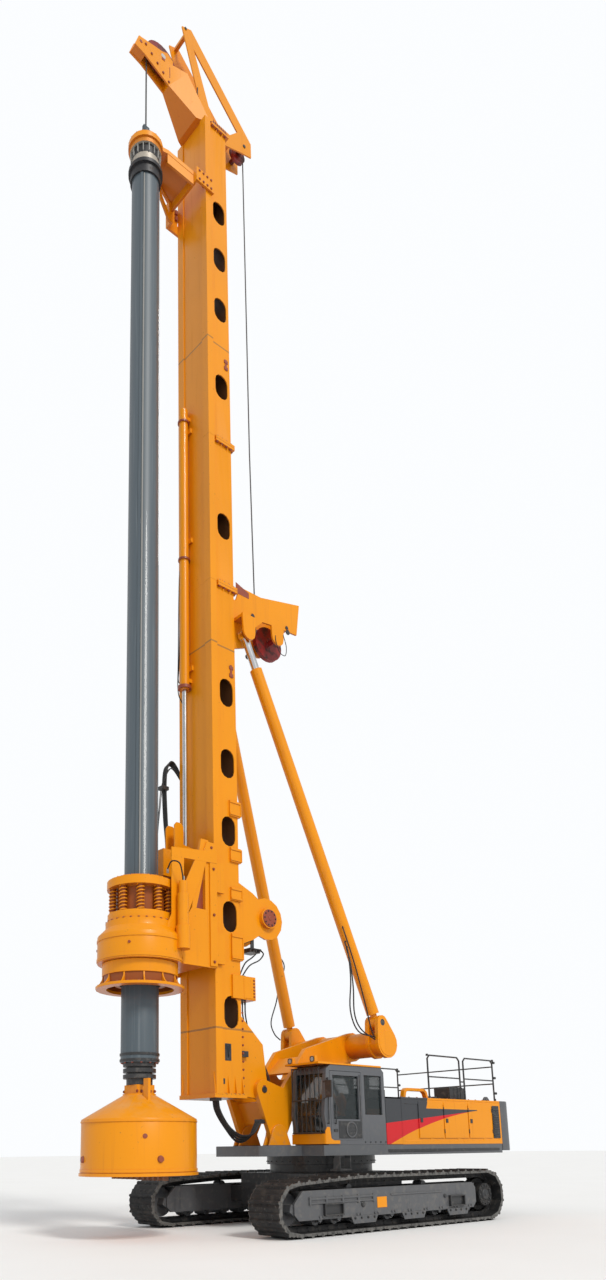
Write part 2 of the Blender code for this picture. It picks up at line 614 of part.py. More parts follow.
cab = cut(
    plate(cab_profile, "XZ", CAB_INNER_Y, cab_outer_y),
    plate(cab_room, "XZ", CAB_INNER_Y + CAB_WALL, cab_outer_y - CAB_WALL),
    block(DOOR_X, (cab_outer_y - CAB_WALL - OVERRUN, cab_outer_y + OVERRUN), doorway_z),
    block((CAB_REAR + MULLION, DOOR_X[0] - MULLION), (CAB_INNER_Y - OVERRUN, cab_outer_y + OVERRUN), (waist_z, header_z)),
    block((DOOR_X[0], DOOR_X[1] - MULLION), (CAB_INNER_Y - OVERRUN, CAB_INNER_Y + CAB_WALL + OVERRUN), (waist_z, header_z)),
    block((CAB_FRONT - SCREEN_DEPTH, CAB_FRONT + OVERRUN), (CAB_INNER_Y + MULLION, cab_outer_y - MULLION),
          (cab_low + 2 * SILL, header_z)),
    block((CAB_REAR - OVERRUN, CAB_REAR + CAB_WALL + OVERRUN), (CAB_INNER_Y + MULLION, cab_outer_y - MULLION),
          (waist_z, header_z)))
part("cab_shell", cab, "slew", GREY, 0.4, 0.2)

# Cab glass: panes just inside the openings, joined behind the posts
PANE = 0.008
PANE_LAP = 0.03
glass_out = cab_outer_y - CAB_WALL - SEAT_GAP
glass_in = CAB_INNER_Y + CAB_WALL + SEAT_GAP
glass_rear = CAB_REAR + CAB_WALL + SEAT_GAP
glass_low = waist_z - PANE_LAP
glass_high = header_z + PANE_LAP
screen_low = cab_low + 2 * SILL - PANE_LAP


def inner_front(z):
    """How far forward the cab's room reaches at a height."""
    end_z = cab_low + CAB_WALL if z < waist_z else room_top
    return CAB_FRONT - CAB_WALL - CAB_LEAN * (z - waist_z) / (end_z - waist_z)


screen = [(inner_front(z) - SEAT_GAP, z) for z in (screen_low, waist_z, glass_high)]
screen += [(x - PANE, z) for x, z in reversed(screen)]
windscreen = plate(screen, "XZ", glass_in, cab_outer_y - CAB_WALL - PANE_LAP)
part("cab_glass", fuse(
    block((glass_rear, DOOR_X[0] - PANE_LAP), (glass_out - PANE, glass_out), (glass_low, glass_high)),
    block((glass_rear, glass_rear + PANE), (glass_in, glass_out - PANE / 2), (glass_low, glass_high)),
    block((glass_rear + PANE / 2, inner_front(glass_high) - PANE / 2), (glass_in, glass_in + PANE), (glass_low, glass_high)),
    windscreen), "slew", GLASS, 0.05, 0.0, 0.35)

# Cab seat: pedestal, cushion and back
SEAT_X = 0.28
SEAT_LENGTH = 0.60
SEAT_HALF = 0.26
SEAT_HEIGHT = 0.42
CUSHION = 0.12
BACK_HEIGHT = 0.66
BACK_THICK = 0.16
PEDESTAL_INSET = 0.06
seat_middle_y = (CAB_INNER_Y + cab_outer_y) / 2
seat_floor = cab_low + CAB_WALL + SEAT_GAP
seat_rear = SEAT_X - SEAT_LENGTH / 2
cushion_top = seat_floor + SEAT_HEIGHT + CUSHION
part("cab_seat", fuse(
    block((seat_rear + PEDESTAL_INSET, seat_rear + SEAT_LENGTH - PEDESTAL_INSET),
          (seat_middle_y - SEAT_HALF + PEDESTAL_INSET, seat_middle_y + SEAT_HALF - PEDESTAL_INSET), (seat_floor, seat_floor + SEAT_HEIGHT)),
    block((seat_rear, seat_rear + SEAT_LENGTH), (seat_middle_y - SEAT_HALF, seat_middle_y + SEAT_HALF),
          (seat_floor + SEAT_HEIGHT - SINK, cushion_top)),
    block((seat_rear - BACK_THICK / 2, seat_rear + BACK_THICK / 2), (seat_middle_y - SEAT_HALF + SINK, seat_middle_y + SEAT_HALF - SINK),
          (cushion_top - CUSHION / 2, cushion_top + BACK_HEIGHT))),
    "slew", DARK, 0.8)

# Roof guard: a plate on the cab's roof with a visor over the windscreen and two lamps on it
GUARD_THICK = 0.04
VISOR_THICK = 0.05
VISOR_REACH = 0.16
GUARD_LIP = 0.02
LAMP_DEPTH = 0.09
LAMP_WIDTH = 0.16
LAMP_HEIGHT = 0.14
LAMP_SPREAD = 0.34
LAMP_BACK = 0.01
roof_low = CAB_ROOF + SEAT_GAP
brow_x = CAB_FRONT - BROW_LENGTH
visor_front = CAB_FRONT + VISOR_REACH
lamp_x = (visor_front - LAMP_BACK - LAMP_DEPTH, visor_front - LAMP_BACK)
lamp_z = (CAB_ROOF + GUARD_THICK, CAB_ROOF + GUARD_THICK + LAMP_HEIGHT)
part("cab_guard", fuse(
    block((CAB_REAR + CAB_CORNER, brow_x), (CAB_INNER_Y, cab_outer_y + GUARD_LIP), (roof_low, CAB_ROOF + GUARD_THICK)),
    block((brow_x - SINK, visor_front), (CAB_INNER_Y, cab_outer_y + GUARD_LIP), (roof_low, CAB_ROOF + VISOR_THICK)),
    *[block(lamp_x, (seat_middle_y + side * LAMP_SPREAD - LAMP_WIDTH / 2, seat_middle_y + side * LAMP_SPREAD + LAMP_WIDTH / 2), lamp_z)
      for side in (1, -1)]),
    "slew", YELLOW, 0.4)

# Cab door: a frame with its window cut, hung at its rear edge
DOOR_GAP = 0.008
DOOR_FRAME = 0.09
DOOR_KICK = 0.45
HINGE_OUT = 0.02
door_x = (DOOR_X[0] + DOOR_GAP, DOOR_X[1] - DOOR_GAP)
door_z = (doorway_z[0] + SEAT_GAP, doorway_z[1] - DOOR_GAP)
door_y = (cab_outer_y - CAB_WALL, cab_outer_y)
pivot("door", "slew", (door_x[0] - DOOR_GAP / 2, cab_outer_y + HINGE_OUT, door_z[0]))
door = cut(block(door_x, door_y, door_z),
           block((door_x[0] + DOOR_FRAME, door_x[1] - DOOR_FRAME), (door_y[0] - OVERRUN, door_y[1] + OVERRUN),
                 (door_z[0] + DOOR_KICK, door_z[1] - DOOR_FRAME)))
part("cab_door", door, "door", GREY, 0.4, 0.2)
part("cab_door_glass", block((door_x[0] + DOOR_FRAME - SINK, door_x[1] - DOOR_FRAME + SINK),
                             (door_y[0] - SEAT_GAP - PANE, door_y[0] - SEAT_GAP),
                             (door_z[0] + DOOR_KICK - SINK, door_z[1] - DOOR_FRAME + SINK)), "door", GLASS, 0.05, 0.0, 0.35)

# Boom: two side plates from the deck to the mast hinge and back up to the cross tube
pivot("boom", "slew", (BOOM_FOOT[0], 0, BOOM_FOOT[1]))
BOOM_EYE = 0.22
HINGE_EYE = 0.22
TUBE_RADIUS = 0.30
TUBE_LIP = 0.01
TUBE_COLLAR = 0.05
CHEEK = 0.10
BOOM_WEB = 0.05
BOOM_LIGHTENING = 0.16
STAY_EYE_HALF = 0.10
# Columns: shares of the way from the boom's foot to the tube, along x and z
BOOM_BACK_SHARES = ((0.069, 0.493), (0.207, 0.697), (0.364, 0.934))
BOOM_BELLY_SHARES = ((0.594, 0.749), (0.287, 0.412))
BOOM_HOLE_SHARES = (0.42, 0.70)
TOP_WEB_SHARES = ((0.410, 0.853), (0.237, 0.664))
FRONT_WEB_SHARES = ((0.27, 0.27), (0.745, 0.745))


def spread(shares, start, end):
    """Points at shares of the way from one corner to the other."""
    return [(start[0] + (end[0] - start[0]) * x, start[1] + (end[1] - start[1]) * z) for x, z in shares]


def strap(start, end, thick):
    """The outline of a flat bar between two points, seen from its side."""
    length = math.dist(start, end)
    side = ((start[1] - end[1]) / length * thick / 2, (end[0] - start[0]) / length * thick / 2)
    return [(start[0] + side[0], start[1] + side[1]), (start[0] - side[0], start[1] - side[1]),
            (end[0] - side[0], end[1] - side[1]), (end[0] + side[0], end[1] + side[1])]


boom_outline = [*arc(BOOM_FOOT, BOOM_EYE, 200, 345, 6), *arc(MAST_HINGE, HINGE_EYE, -30, 110, 6),
                *spread(BOOM_BACK_SHARES, BOOM_FOOT, CROSS_TUBE),
                *arc(CROSS_TUBE, TUBE_RADIUS + TUBE_COLLAR, 70, 255, 8),
                *spread(BOOM_BELLY_SHARES, BOOM_FOOT, CROSS_TUBE)]
boom_hole = arc(spread([BOOM_HOLE_SHARES], BOOM_FOOT, CROSS_TUBE)[0], BOOM_LIGHTENING, 0, 330, 11)
boom_plate = plate(boom_outline, "XZ", *BOOM_PLATE_Y, [boom_hole])
stay_eye_inner = STAY_FOOT[1] - STAY_EYE_HALF - SEAT_GAP
stay_eye_outer = STAY_FOOT[1] + STAY_EYE_HALF + SEAT_GAP
tube_half = stay_eye_outer + CHEEK + TUBE_LIP
tube_middle = (CROSS_TUBE[0], 0, CROSS_TUBE[1])
room_for_tube = ring(tube_middle, TUBE_RADIUS + SEAT_GAP, 0, -tube_half, tube_half, ROUND_SIDES, "Y")
boom_web_y = (-BOOM_PLATE_Y[0] - SINK, BOOM_PLATE_Y[0] + SINK)
front_web = plate(strap(*spread(FRONT_WEB_SHARES, BOOM_FOOT, MAST_HINGE), BOOM_WEB), "XZ", *boom_web_y)
top_web = plate(strap(*spread(TOP_WEB_SHARES, BOOM_FOOT, CROSS_TUBE), BOOM_WEB), "XZ", *boom_web_y)
boom_frame = cut(fuse(boom_plate, mirrored(boom_plate), front_web, top_web), room_for_tube)
part("boom_frame", boom_frame, "boom", YELLOW, 0.35)

# Cross tube: a big closed tube across the boom's rear, with cheeks for the stays and ears for the luffing rods
STAY_EYE = 0.17
LUFF_EYE = 0.14
EAR_ROOT = 0.19
EAR_RISE = 0.15
EAR_SHIFT = 0.03
stay_foot = (STAY_FOOT[0], STAY_FOOT[2])


def cheek(y_low):
    """A pear-shaped plate round the tube and up to the stay's lower pin."""
    lean = math.degrees(math.atan2(stay_foot[1] - CROSS_TUBE[1], stay_foot[0] - CROSS_TUBE[0]))
    outline = [*arc(CROSS_TUBE, TUBE_RADIUS + TUBE_COLLAR, lean + 70, lean + 290, 10),
               *arc(stay_foot, STAY_EYE, lean - 70, lean + 70, 6)]
    return plate(outline, "XZ", y_low, y_low + CHEEK)


def luff_ear(y_low):
    """An ear that hangs from the tube to the luffing rod's pin."""
    outline = [(CROSS_TUBE[0] + EAR_SHIFT - EAR_ROOT, CROSS_TUBE[1] - EAR_RISE), *arc(LUFF_HEAD, LUFF_EYE, 180, 360, 8),
               (CROSS_TUBE[0] + EAR_SHIFT + EAR_ROOT, CROSS_TUBE[1] - EAR_RISE)]
    return plate(outline, "XZ", y_low, y_low + LUG_THICK)


tube = ring(tube_middle, TUBE_RADIUS, 0, -tube_half, tube_half, ROUND_SIDES, "Y")
tube_extras = [cheek(stay_eye_inner - CHEEK), cheek(stay_eye_outer),
               luff_ear(LUFF_Y - LUFF_EYE_HALF - SEAT_GAP - LUG_THICK), luff_ear(LUFF_Y + LUFF_EYE_HALF + SEAT_GAP)]
tube_extras += [mirrored(piece) for piece in tube_extras]
cross_tube = fuse(tube, *tube_extras)
part("cross_tube", cross_tube, "boom", YELLOW, 0.35)

# Cylinders: a barrel with its foot's eye and gland, and a rod with its head's eye
CYLINDER_SIDES = 16
NECK_SHARE = 0.8
GLAND = 0.10


def cylinder_barrel(foot, head, radius, wall, rod, start, end, eye, eye_half):
    """A barrel with a gland round its rod and the eye of its foot; start and end are distances from the foot's pin."""
    foot, head = Vector(foot), Vector(head)
    along = (head - foot).normalized()
    barrel = bar(foot + along * start, foot + along * end, radius, CYLINDER_SIDES)
    bore = bar(foot + along * (start + 2 * wall), foot + along * (end - GLAND), radius - wall, CYLINDER_SIDES)
    gland = bar(foot + along * (end - GLAND - OVERRUN), foot + along * (end + OVERRUN), rod + SEAT_GAP, CYLINDER_SIDES)
    knuckle = bar(foot - Vector((0, eye_half, 0)), foot + Vector((0, eye_half, 0)), eye, CYLINDER_SIDES)
    neck = bar(foot, foot + along * (start + wall), eye_half * NECK_SHARE)
    return cut(fuse(barrel, neck, knuckle), bore, gland)


def cylinder_rod(foot, head, radius, start, eye, eye_half):
    """A rod from start, measured from the foot's pin, to the eye at the head."""
    foot, head = Vector(foot), Vector(head)
    along = (head - foot).normalized()
    return fuse(bar(foot + along * start, head, radius, CYLINDER_SIDES),
                bar(head - Vector((0, eye_half, 0)), head + Vector((0, eye_half, 0)), eye, CYLINDER_SIDES))


# Luffing cylinders: deck to cross tube, one each side of the middle
LUFF_BARREL = 0.13
LUFF_WALL = 0.03
LUFF_ROD = 0.062
LUFF_START = 0.16
LUFF_END = 1.08
LUFF_ROD_START = 0.72
LUFF_FOOT_EYE = 0.13
LUFF_HEAD_EYE = 0.11
pivot("luff", "slew", (LUFF_FOOT[0], 0, LUFF_FOOT[1]))
luff_pins = (LUFF_FOOT[0], LUFF_Y, LUFF_FOOT[1]), (LUFF_HEAD[0], LUFF_Y, LUFF_HEAD[1])
pair("luff_barrel", cylinder_barrel(*luff_pins, LUFF_BARREL, LUFF_WALL, LUFF_ROD, LUFF_START, LUFF_END, LUFF_FOOT_EYE, LUFF_EYE_HALF),
     "luff", YELLOW, 0.35)
pair("luff_rod", cylinder_rod(*luff_pins, LUFF_ROD, LUFF_ROD_START, LUFF_HEAD_EYE, LUFF_EYE_HALF), "luff", CHROME, 0.15, 1.0)

# Stays: two long cylinders from the cross tube to the mast
STAY_RADIUS = 0.15
STAY_WALL = 0.025
STAY_ROD = 0.095
STAY_START = 0.22
STAY_BARREL_END = 9.03
STAY_ROD_START = 7.4
STAY_KNUCKLE = STAY_EYE - RUNNING_GAP
HEAD_EYE = 0.14
HEAD_EYE_HALF = 0.07
pivot("stays", "boom", (STAY_FOOT[0], 0, STAY_FOOT[2]))
pair("stay_barrel", cylinder_barrel(STAY_FOOT, STAY_HEAD, STAY_RADIUS, STAY_WALL, STAY_ROD, STAY_START, STAY_BARREL_END,
                                    STAY_KNUCKLE, STAY_EYE_HALF), "stays", YELLOW, 0.35)
pair("stay_rod", cylinder_rod(STAY_FOOT, STAY_HEAD, STAY_ROD, STAY_ROD_START, HEAD_EYE, HEAD_EYE_HALF), "stays", CHROME, 0.15, 1.0)

# Mast: a box in three flanged lengths, with long round-ended windows in its sides and guide rails at its front
pivot("mast", "boom", (MAST_HINGE[0], 0, MAST_HINGE[1]))
MAST_WALL = 0.035
FLANGE = 0.07
FLANGE_OUT = 0.07
STEP = 0.002
WINDOW_SETBACK = 0.485
WINDOW_WIDTH = 0.41
WINDOW_HEIGHT = 0.72
RAIL_OUT = 0.075
RAIL_DEEP = 0.16
RAIL_FACE = 0.03
HOOK = 0.04
GUSSET_OUT = 0.05
GUSSET_RUN = 0.16
GUSSET_THICK = 0.025
# Shares of a mast length's height at which its windows lie
LOW_WINDOW_SHARES = (0.1457, 0.3216, 0.4861, 0.6219, 0.7692)
MIDDLE_WINDOW_SHARES = (0.4122,)
HIGH_WINDOW_SHARES = (0.1659, 0.4020, 0.5620, 0.7141)
GUSSET_SHARES = (0.24, 0.62)
flange_front = MAST_FRONT - RAIL_DEEP - HOOK - 3 * RUNNING_GAP
window_x = MAST_FRONT - WINDOW_SETBACK


def mast_length(low, high, window_shares, flange_low, flange_high, cap=0.0):
    """One hollow length of mast, with the gusseted flanges it is bolted by."""
    pieces = []
    rails = block((MAST_FRONT - RAIL_DEEP, MAST_FRONT + RAIL_FACE),
                  (MAST_HALF_WIDTH - RAIL_DEEP, MAST_HALF_WIDTH + RAIL_OUT), (low + STEP, high - STEP))
    pieces += [rails, mirrored(rails)]
    flange_half = MAST_HALF_WIDTH + FLANGE_OUT
    for flanged, bottom, toward in ((flange_low, low + 2 * STEP, 1), (flange_high, high - FLANGE - 2 * STEP, -1)):
        if not flanged:
            continue
        pieces.append(block((MAST_REAR - FLANGE_OUT, flange_front), (-flange_half, flange_half), (bottom, bottom + FLANGE)))
        root = bottom + FLANGE - STEP if toward > 0 else bottom + STEP
        for share in GUSSET_SHARES:
            x = MAST_REAR + share * (flange_front - MAST_REAR)
            gusset = plate([(MAST_HALF_WIDTH - MAST_WALL / 2, root), (MAST_HALF_WIDTH + GUSSET_OUT, root),
                            (MAST_HALF_WIDTH - MAST_WALL / 2, root + toward * GUSSET_RUN)], "YZ", x, x + GUSSET_THICK)
            pieces += [gusset, mirrored(gusset)]
    hollow = block((MAST_REAR + MAST_WALL, MAST_FRONT - MAST_WALL), (-MAST_HALF_WIDTH + MAST_WALL, MAST_HALF_WIDTH - MAST_WALL),
                   (low - OVERRUN, high - cap if cap else high + OVERRUN))
    holes = []
    for share in window_shares:
        z = low + share * (high - low)
        half, flat = WINDOW_WIDTH / 2, (WINDOW_HEIGHT - WINDOW_WIDTH) / 2
        outline = [*arc((window_x, z + flat), half, 0, 180, 6), *arc((window_x, z - flat), half, 180, 360, 6)]
        holes.append(plate(outline, "XZ", -MAST_HALF_WIDTH - 2 * OVERRUN, MAST_HALF_WIDTH + 2 * OVERRUN))
    body = block((MAST_REAR, MAST_FRONT), (-MAST_HALF_WIDTH, MAST_HALF_WIDTH), (low, high))
    return cut(fuse(body, *pieces), hollow, *holes)


BASE_PLATE = 0.07
HINGE_EAR = 0.11
EAR_TOP_RISE = 1.70
EAR_NECK_RISE = 1.00
EAR_NECK_BACK = 0.10
COLLAR_OUT = 0.045
COLLAR_WRAP = 0.27
COLLAR_INNER_Y = 0.485
# Shares of the lowest length's height between which its rear collars lie
COLLAR_SHARES = ((0.241, 0.290), (0.353, 0.378), (0.427, 0.455), (0.517, 0.548))
hinge_ear_y = (BOOM_PLATE_Y[0] - SEAT_GAP - HINGE_EAR, BOOM_PLATE_Y[0] - SEAT_GAP)
ear = plate([(MAST_REAR + SINK, MAST_HINGE[1] + EAR_TOP_RISE), (MAST_HINGE[0] - EAR_NECK_BACK, MAST_HINGE[1] + EAR_NECK_RISE),
             *arc(MAST_HINGE, HINGE_EYE, 170, 300, 6), (MAST_REAR + SINK, MAST_BOTTOM)], "XZ", *hinge_ear_y)
base = block((MAST_REAR - FLANGE_OUT, MAST_FRONT + FLANGE_OUT), (-MAST_HALF_WIDTH - FLANGE_OUT, MAST_HALF_WIDTH + FLANGE_OUT),
             (MAST_BOTTOM - BASE_PLATE, MAST_BOTTOM + SINK))
collars = []
for share_low, share_high in COLLAR_SHARES:
    low_z, high_z = (MAST_BOTTOM + share * (MAST_JOINT_LOW - MAST_BOTTOM) for share in (share_low, share_high))
    collar = block((MAST_REAR - COLLAR_OUT, MAST_REAR + COLLAR_WRAP), (COLLAR_INNER_Y, MAST_HALF_WIDTH + COLLAR_OUT), (low_z, high_z))
    inside = block((MAST_REAR + MAST_WALL, MAST_REAR + COLLAR_WRAP + OVERRUN), (COLLAR_INNER_Y - OVERRUN, MAST_HALF_WIDTH - MAST_WALL),
                   (low_z - OVERRUN, high_z + OVERRUN))
    collar = cut(collar, inside)
    collars += [collar, mirrored(collar)]
mast_low = fuse(mast_length(MAST_BOTTOM, MAST_JOINT_LOW, LOW_WINDOW_SHARES, False, True), ear, mirrored(ear), base, *collars)
part("mast_lower", mast_low, "mast", YELLOW, 0.35)
part("mast_middle", mast_length(MAST_JOINT_LOW + SEAT_GAP, MAST_JOINT_HIGH, MIDDLE_WINDOW_SHARES, True, True), "mast", YELLOW, 0.35)
part("mast_upper", mast_length(MAST_JOINT_HIGH + SEAT_GAP, MAST_TOP, HIGH_WINDOW_SHARES, True, True, MAST_WALL), "mast", YELLOW, 0.35)

# Mast head: a trunk that narrows as it leans forward, with two cheeks and a nose round the main sheave
SHEAVE_RADIUS = 0.50
SHEAVE_HALF = 0.06
SHEAVE_AXLE = 0.06
SHEAVE_RISE = 1.60
SHEAVE_ROOM = 0.03
ROPE_SHIFT = 0.028
HEAD_PLATE = 0.04
HEAD_INNER_Y = 0.10
TRUNK_ROOT_Y = 0.40
HEAD_REACH = 2.74
HEAD_HEIGHT = 2.06
HEAD_BACK = 0.09
head_low = MAST_TOP + SEAT_GAP
head_corner = (MAST_REAR + HEAD_BACK, head_low)
head_far_corner = (head_corner[0] + HEAD_REACH, head_low + HEAD_HEIGHT)
head_outer_y = HEAD_INNER_Y + HEAD_PLATE
# Shares of the head's reach and height
TRUNK_SHARES = ((0.161, 0.0), (0.310, 0.0), (0.584, 0.359), (0.584, 0.752), (0.394, 0.704))
CHEEK_SHARES = ((0.540, 0.340), (0.865, 0.519), (0.998, 0.553), (0.951, 0.752), (0.668, 0.850), (0.599, 0.898), (0.530, 0.840))
NOSE_SHARES = ((0.870, 0.530), (0.990, 0.560), (0.946, 0.742), (0.870, 0.770))
sheave_place = (KELLY_X - SHEAVE_RADIUS + ROPE_SHIFT, MAST_TOP + SHEAVE_RISE)
trunk_outline = spread(TRUNK_SHARES, head_corner, head_far_corner)
trunk_x = (trunk_outline[1][0], trunk_outline[2][0])
trunk = plate(trunk_outline, "XZ", -1, 1)
for vertex in trunk.data.vertices:
    share = (vertex.co.x - trunk_x[0]) / (trunk_x[1] - trunk_x[0])
    vertex.co.y *= TRUNK_ROOT_Y + share * (head_outer_y - STEP - TRUNK_ROOT_Y)
trunk = cut(trunk, ring((sheave_place[0], 0, sheave_place[1]), SHEAVE_RADIUS + SHEAVE_ROOM, 0, -HEAD_INNER_Y, HEAD_INNER_Y, ROUND_SIDES, "Y"))
crown = plate(spread(CHEEK_SHARES, head_corner, head_far_corner), "XZ", HEAD_INNER_Y, head_outer_y)
nose = plate(spread(NOSE_SHARES, head_corner, head_far_corner), "XZ", -HEAD_INNER_Y - SINK, HEAD_INNER_Y + SINK)
part("mast_head", fuse(trunk, crown, mirrored(crown), nose), "mast", YELLOW, 0.35)
pivot("head_sheave_axis", "mast", (sheave_place[0], 0, sheave_place[1]))
GROOVE_SHARE = 0.08
GROOVE_FLOOR = 0.024


def sheave(x, z, radius, plate_y):
    """A grooved rope wheel on an axle that ends at the plates beside it."""
    floor = radius * (1 - GROOVE_SHARE)
    wheel_part = turned([(radius, SHEAVE_HALF), (floor, GROOVE_FLOOR / 2), (floor, -GROOVE_FLOOR / 2), (radius, -SHEAVE_HALF),
                         (SHEAVE_AXLE, -SHEAVE_HALF), (SHEAVE_AXLE, SHEAVE_HALF)], (x, 0, z), ROUND_SIDES, "Y")
    axle = ring((x, 0, z), SHEAVE_AXLE + SINK / 2, 0, -plate_y + SEAT_GAP, plate_y - SEAT_GAP, SMALL_SIDES, "Y")
    return fuse(wheel_part, axle)


part("head_sheave", sheave(*sheave_place, SHEAVE_RADIUS, HEAD_INNER_Y), "head_sheave_axis", RED, 0.4, 0.3)

# Rear jib: an open triangle behind the crown, with the sheave that takes the rope down the mast's back
JIB_PLATE = 0.04
JIB_INNER_Y = 0.275
JIB_REACH = 2.56
JIB_HEIGHT = 3.22
JIB_FRONT = 1.35
REAR_SHEAVE_RADIUS = 0.26
JIB_TIE = 0.10
# Shares of the jib's reach, from its rear end, and of its height
JIB_SHARES = ((0.492, 0.0), (0.664, 0.0), (1.0, 0.947), (0.871, 1.0), (0.0, 0.317), (0.0, 0.161), (0.148, 0.118))
JIB_HOLE_SHARES = ((0.324, 0.202), (0.586, 0.202), (0.836, 0.801), (0.207, 0.317))
JIB_TIE_SHARES = ((0.30, 0.160), (0.915, 0.945))
REAR_SHEAVE_SHARES = ((0.109375, 0.21739),)
jib_corner = (MAST_REAR + JIB_FRONT - JIB_REACH, head_low)
jib_far_corner = (jib_corner[0] + JIB_REACH, head_low + JIB_HEIGHT)
jib_y = (JIB_INNER_Y, JIB_INNER_Y + JIB_PLATE)
rear_sheave_place = spread(REAR_SHEAVE_SHARES, jib_corner, jib_far_corner)[0]
jib = plate(spread(JIB_SHARES, jib_corner, jib_far_corner), "XZ", *jib_y, [spread(JIB_HOLE_SHARES, jib_corner, jib_far_corner)])
jib_ties = [block((x - JIB_TIE / 2, x + JIB_TIE / 2), (-JIB_INNER_Y - SINK, JIB_INNER_Y + SINK), (z - JIB_TIE / 2, z + JIB_TIE / 2))
            for x, z in spread(JIB_TIE_SHARES, jib_corner, jib_far_corner)]
part("rear_jib", fuse(jib, mirrored(jib), *jib_ties), "mast", YELLOW, 0.35)
pivot("rear_sheave_axis", "mast", (rear_sheave_place[0], 0, rear_sheave_place[1]))
part("rear_sheave", sheave(*rear_sheave_place, REAR_SHEAVE_RADIUS, JIB_INNER_Y), "rear_sheave_axis", RED, 0.4, 0.3)

# Stay bracket: plates on the mast's back that take the stay heads and the guide pulley
BRACKET_PLATE = 0.05
BRACKET_INNER_Y = 0.36
FORK_HALF = 0.15
PULLEY_RADIUS = 0.46
PULLEY_BACK = 1.62
PULLEY_DROP = 0.60
BRACKET_LOW = 13.55
BRACKET_REACH = 2.44
BRACKET_HEIGHT = 2.17
PULLEY_BOSS = 0.20
EAR_EYE = 0.19
EAR_HALF = 0.22
EAR_RISE_OVER_PIN = 0.47
BRIDGE_HEIGHT = 0.08
BRIDGE_INSET = 0.01
CROSS_TIE = 0.06
# Shares of the bracket's reach, from its rear tip, and of its height
BRACKET_TOP_SHARES = ((1.0, 0.0), (1.0, 0.6435), (0.922, 0.6435), (0.865, 0.843), (0.570, 0.843), (0.0, 1.0),
                      (0.053, 0.576), (0.246, 0.562))
BRACKET_BELLY_SHARES = ((0.426, 0.548), (0.553, 0.530), (0.762, 0.300), (0.803, 0.092))
# Columns: share of the reach, lower and upper share of the height
CROSS_TIE_SHARES = ((0.742, 0.645, 0.783), (0.106, 0.668, 0.899))
pulley_place = (MAST_REAR - PULLEY_BACK, MAST_JOINT_LOW - PULLEY_DROP)
bracket_corner = (MAST_REAR - SEAT_GAP - BRACKET_REACH, BRACKET_LOW)
bracket_far_corner = (MAST_REAR - SEAT_GAP, BRACKET_LOW + BRACKET_HEIGHT)
bracket_y = (BRACKET_INNER_Y, BRACKET_INNER_Y + BRACKET_PLATE)
fork_y = (STAY_HEAD[1] + FORK_HALF + SEAT_GAP, STAY_HEAD[1] + FORK_HALF + SEAT_GAP + BRACKET_PLATE)
stay_head = (STAY_HEAD[0], STAY_HEAD[2])
ear_top = STAY_HEAD[2] + EAR_RISE_OVER_PIN
bracket_outline = [*spread(BRACKET_TOP_SHARES, bracket_corner, bracket_far_corner), *arc(pulley_place, PULLEY_BOSS, 180, 360, 6),
                   *spread(BRACKET_BELLY_SHARES, bracket_corner, bracket_far_corner)]
bracket_plate = plate(bracket_outline, "XZ", *bracket_y)
outer_ear = plate([(STAY_HEAD[0] - EAR_HALF, ear_top), *arc(stay_head, EAR_EYE, 180, 360, 6), (STAY_HEAD[0] + EAR_HALF, ear_top)],
                  "XZ", *fork_y)
ear_bridge = block((STAY_HEAD[0] - EAR_HALF + BRIDGE_INSET, STAY_HEAD[0] + EAR_HALF - BRIDGE_INSET),
                   (bracket_y[1] - SINK, fork_y[1] - SINK), (ear_top - BRIDGE_INSET - BRIDGE_HEIGHT, ear_top - BRIDGE_INSET))
half_bracket = fuse(bracket_plate, outer_ear, ear_bridge)
cross_ties = []
for share, low_share, high_share in CROSS_TIE_SHARES:
    (x, z_low), (x, z_high) = spread(((share, low_share), (share, high_share)), bracket_corner, bracket_far_corner)
    cross_ties.append(block((x - CROSS_TIE / 2, x + CROSS_TIE / 2), (-bracket_y[0] - SINK, bracket_y[0] + SINK), (z_low, z_high)))
part("mast_bracket", fuse(half_bracket, mirrored(half_bracket), *cross_ties), "mast", YELLOW, 0.35)
pivot("guide_pulley_axis", "mast", (pulley_place[0], 0, pulley_place[1]))
part("guide_pulley", sheave(*pulley_place, PULLEY_RADIUS, BRACKET_INNER_Y), "guide_pulley_axis", RED, 0.4, 0.3)

# Crowd cylinder: barrel on the mast's front, off its middle, in two saddles
CROWD_Y = -0.25
CROWD_OUT = 0.15
CROWD_RADIUS = 0.115
CROWD_ROD = 0.06
CROWD_LOW = 12.40
CROWD_LENGTH = 7.90
CROWD_SIDES = 16
SADDLE = 0.10
SADDLE_INSET = 0.20
crowd_x = MAST_FRONT + CROWD_OUT
crowd_high = CROWD_LOW + CROWD_LENGTH
saddles = [block((MAST_FRONT + SEAT_GAP, crowd_x), (CROWD_Y - SADDLE, CROWD_Y + SADDLE), (z, z + SADDLE))
           for z in (CROWD_LOW + SADDLE_INSET, crowd_high - SADDLE_INSET - SADDLE)]
crowd = cut(fuse(bar((crowd_x, CROWD_Y, CROWD_LOW), (crowd_x, CROWD_Y, crowd_high), CROWD_RADIUS, CROWD_SIDES), *saddles),
            bar((crowd_x, CROWD_Y, CROWD_LOW - OVERRUN), (crowd_x, CROWD_Y, crowd_high - 2 * CROWD_ROD), CROWD_ROD + SEAT_GAP, CROWD_SIDES))
part("crowd_barrel", crowd, "mast", YELLOW, 0.35)

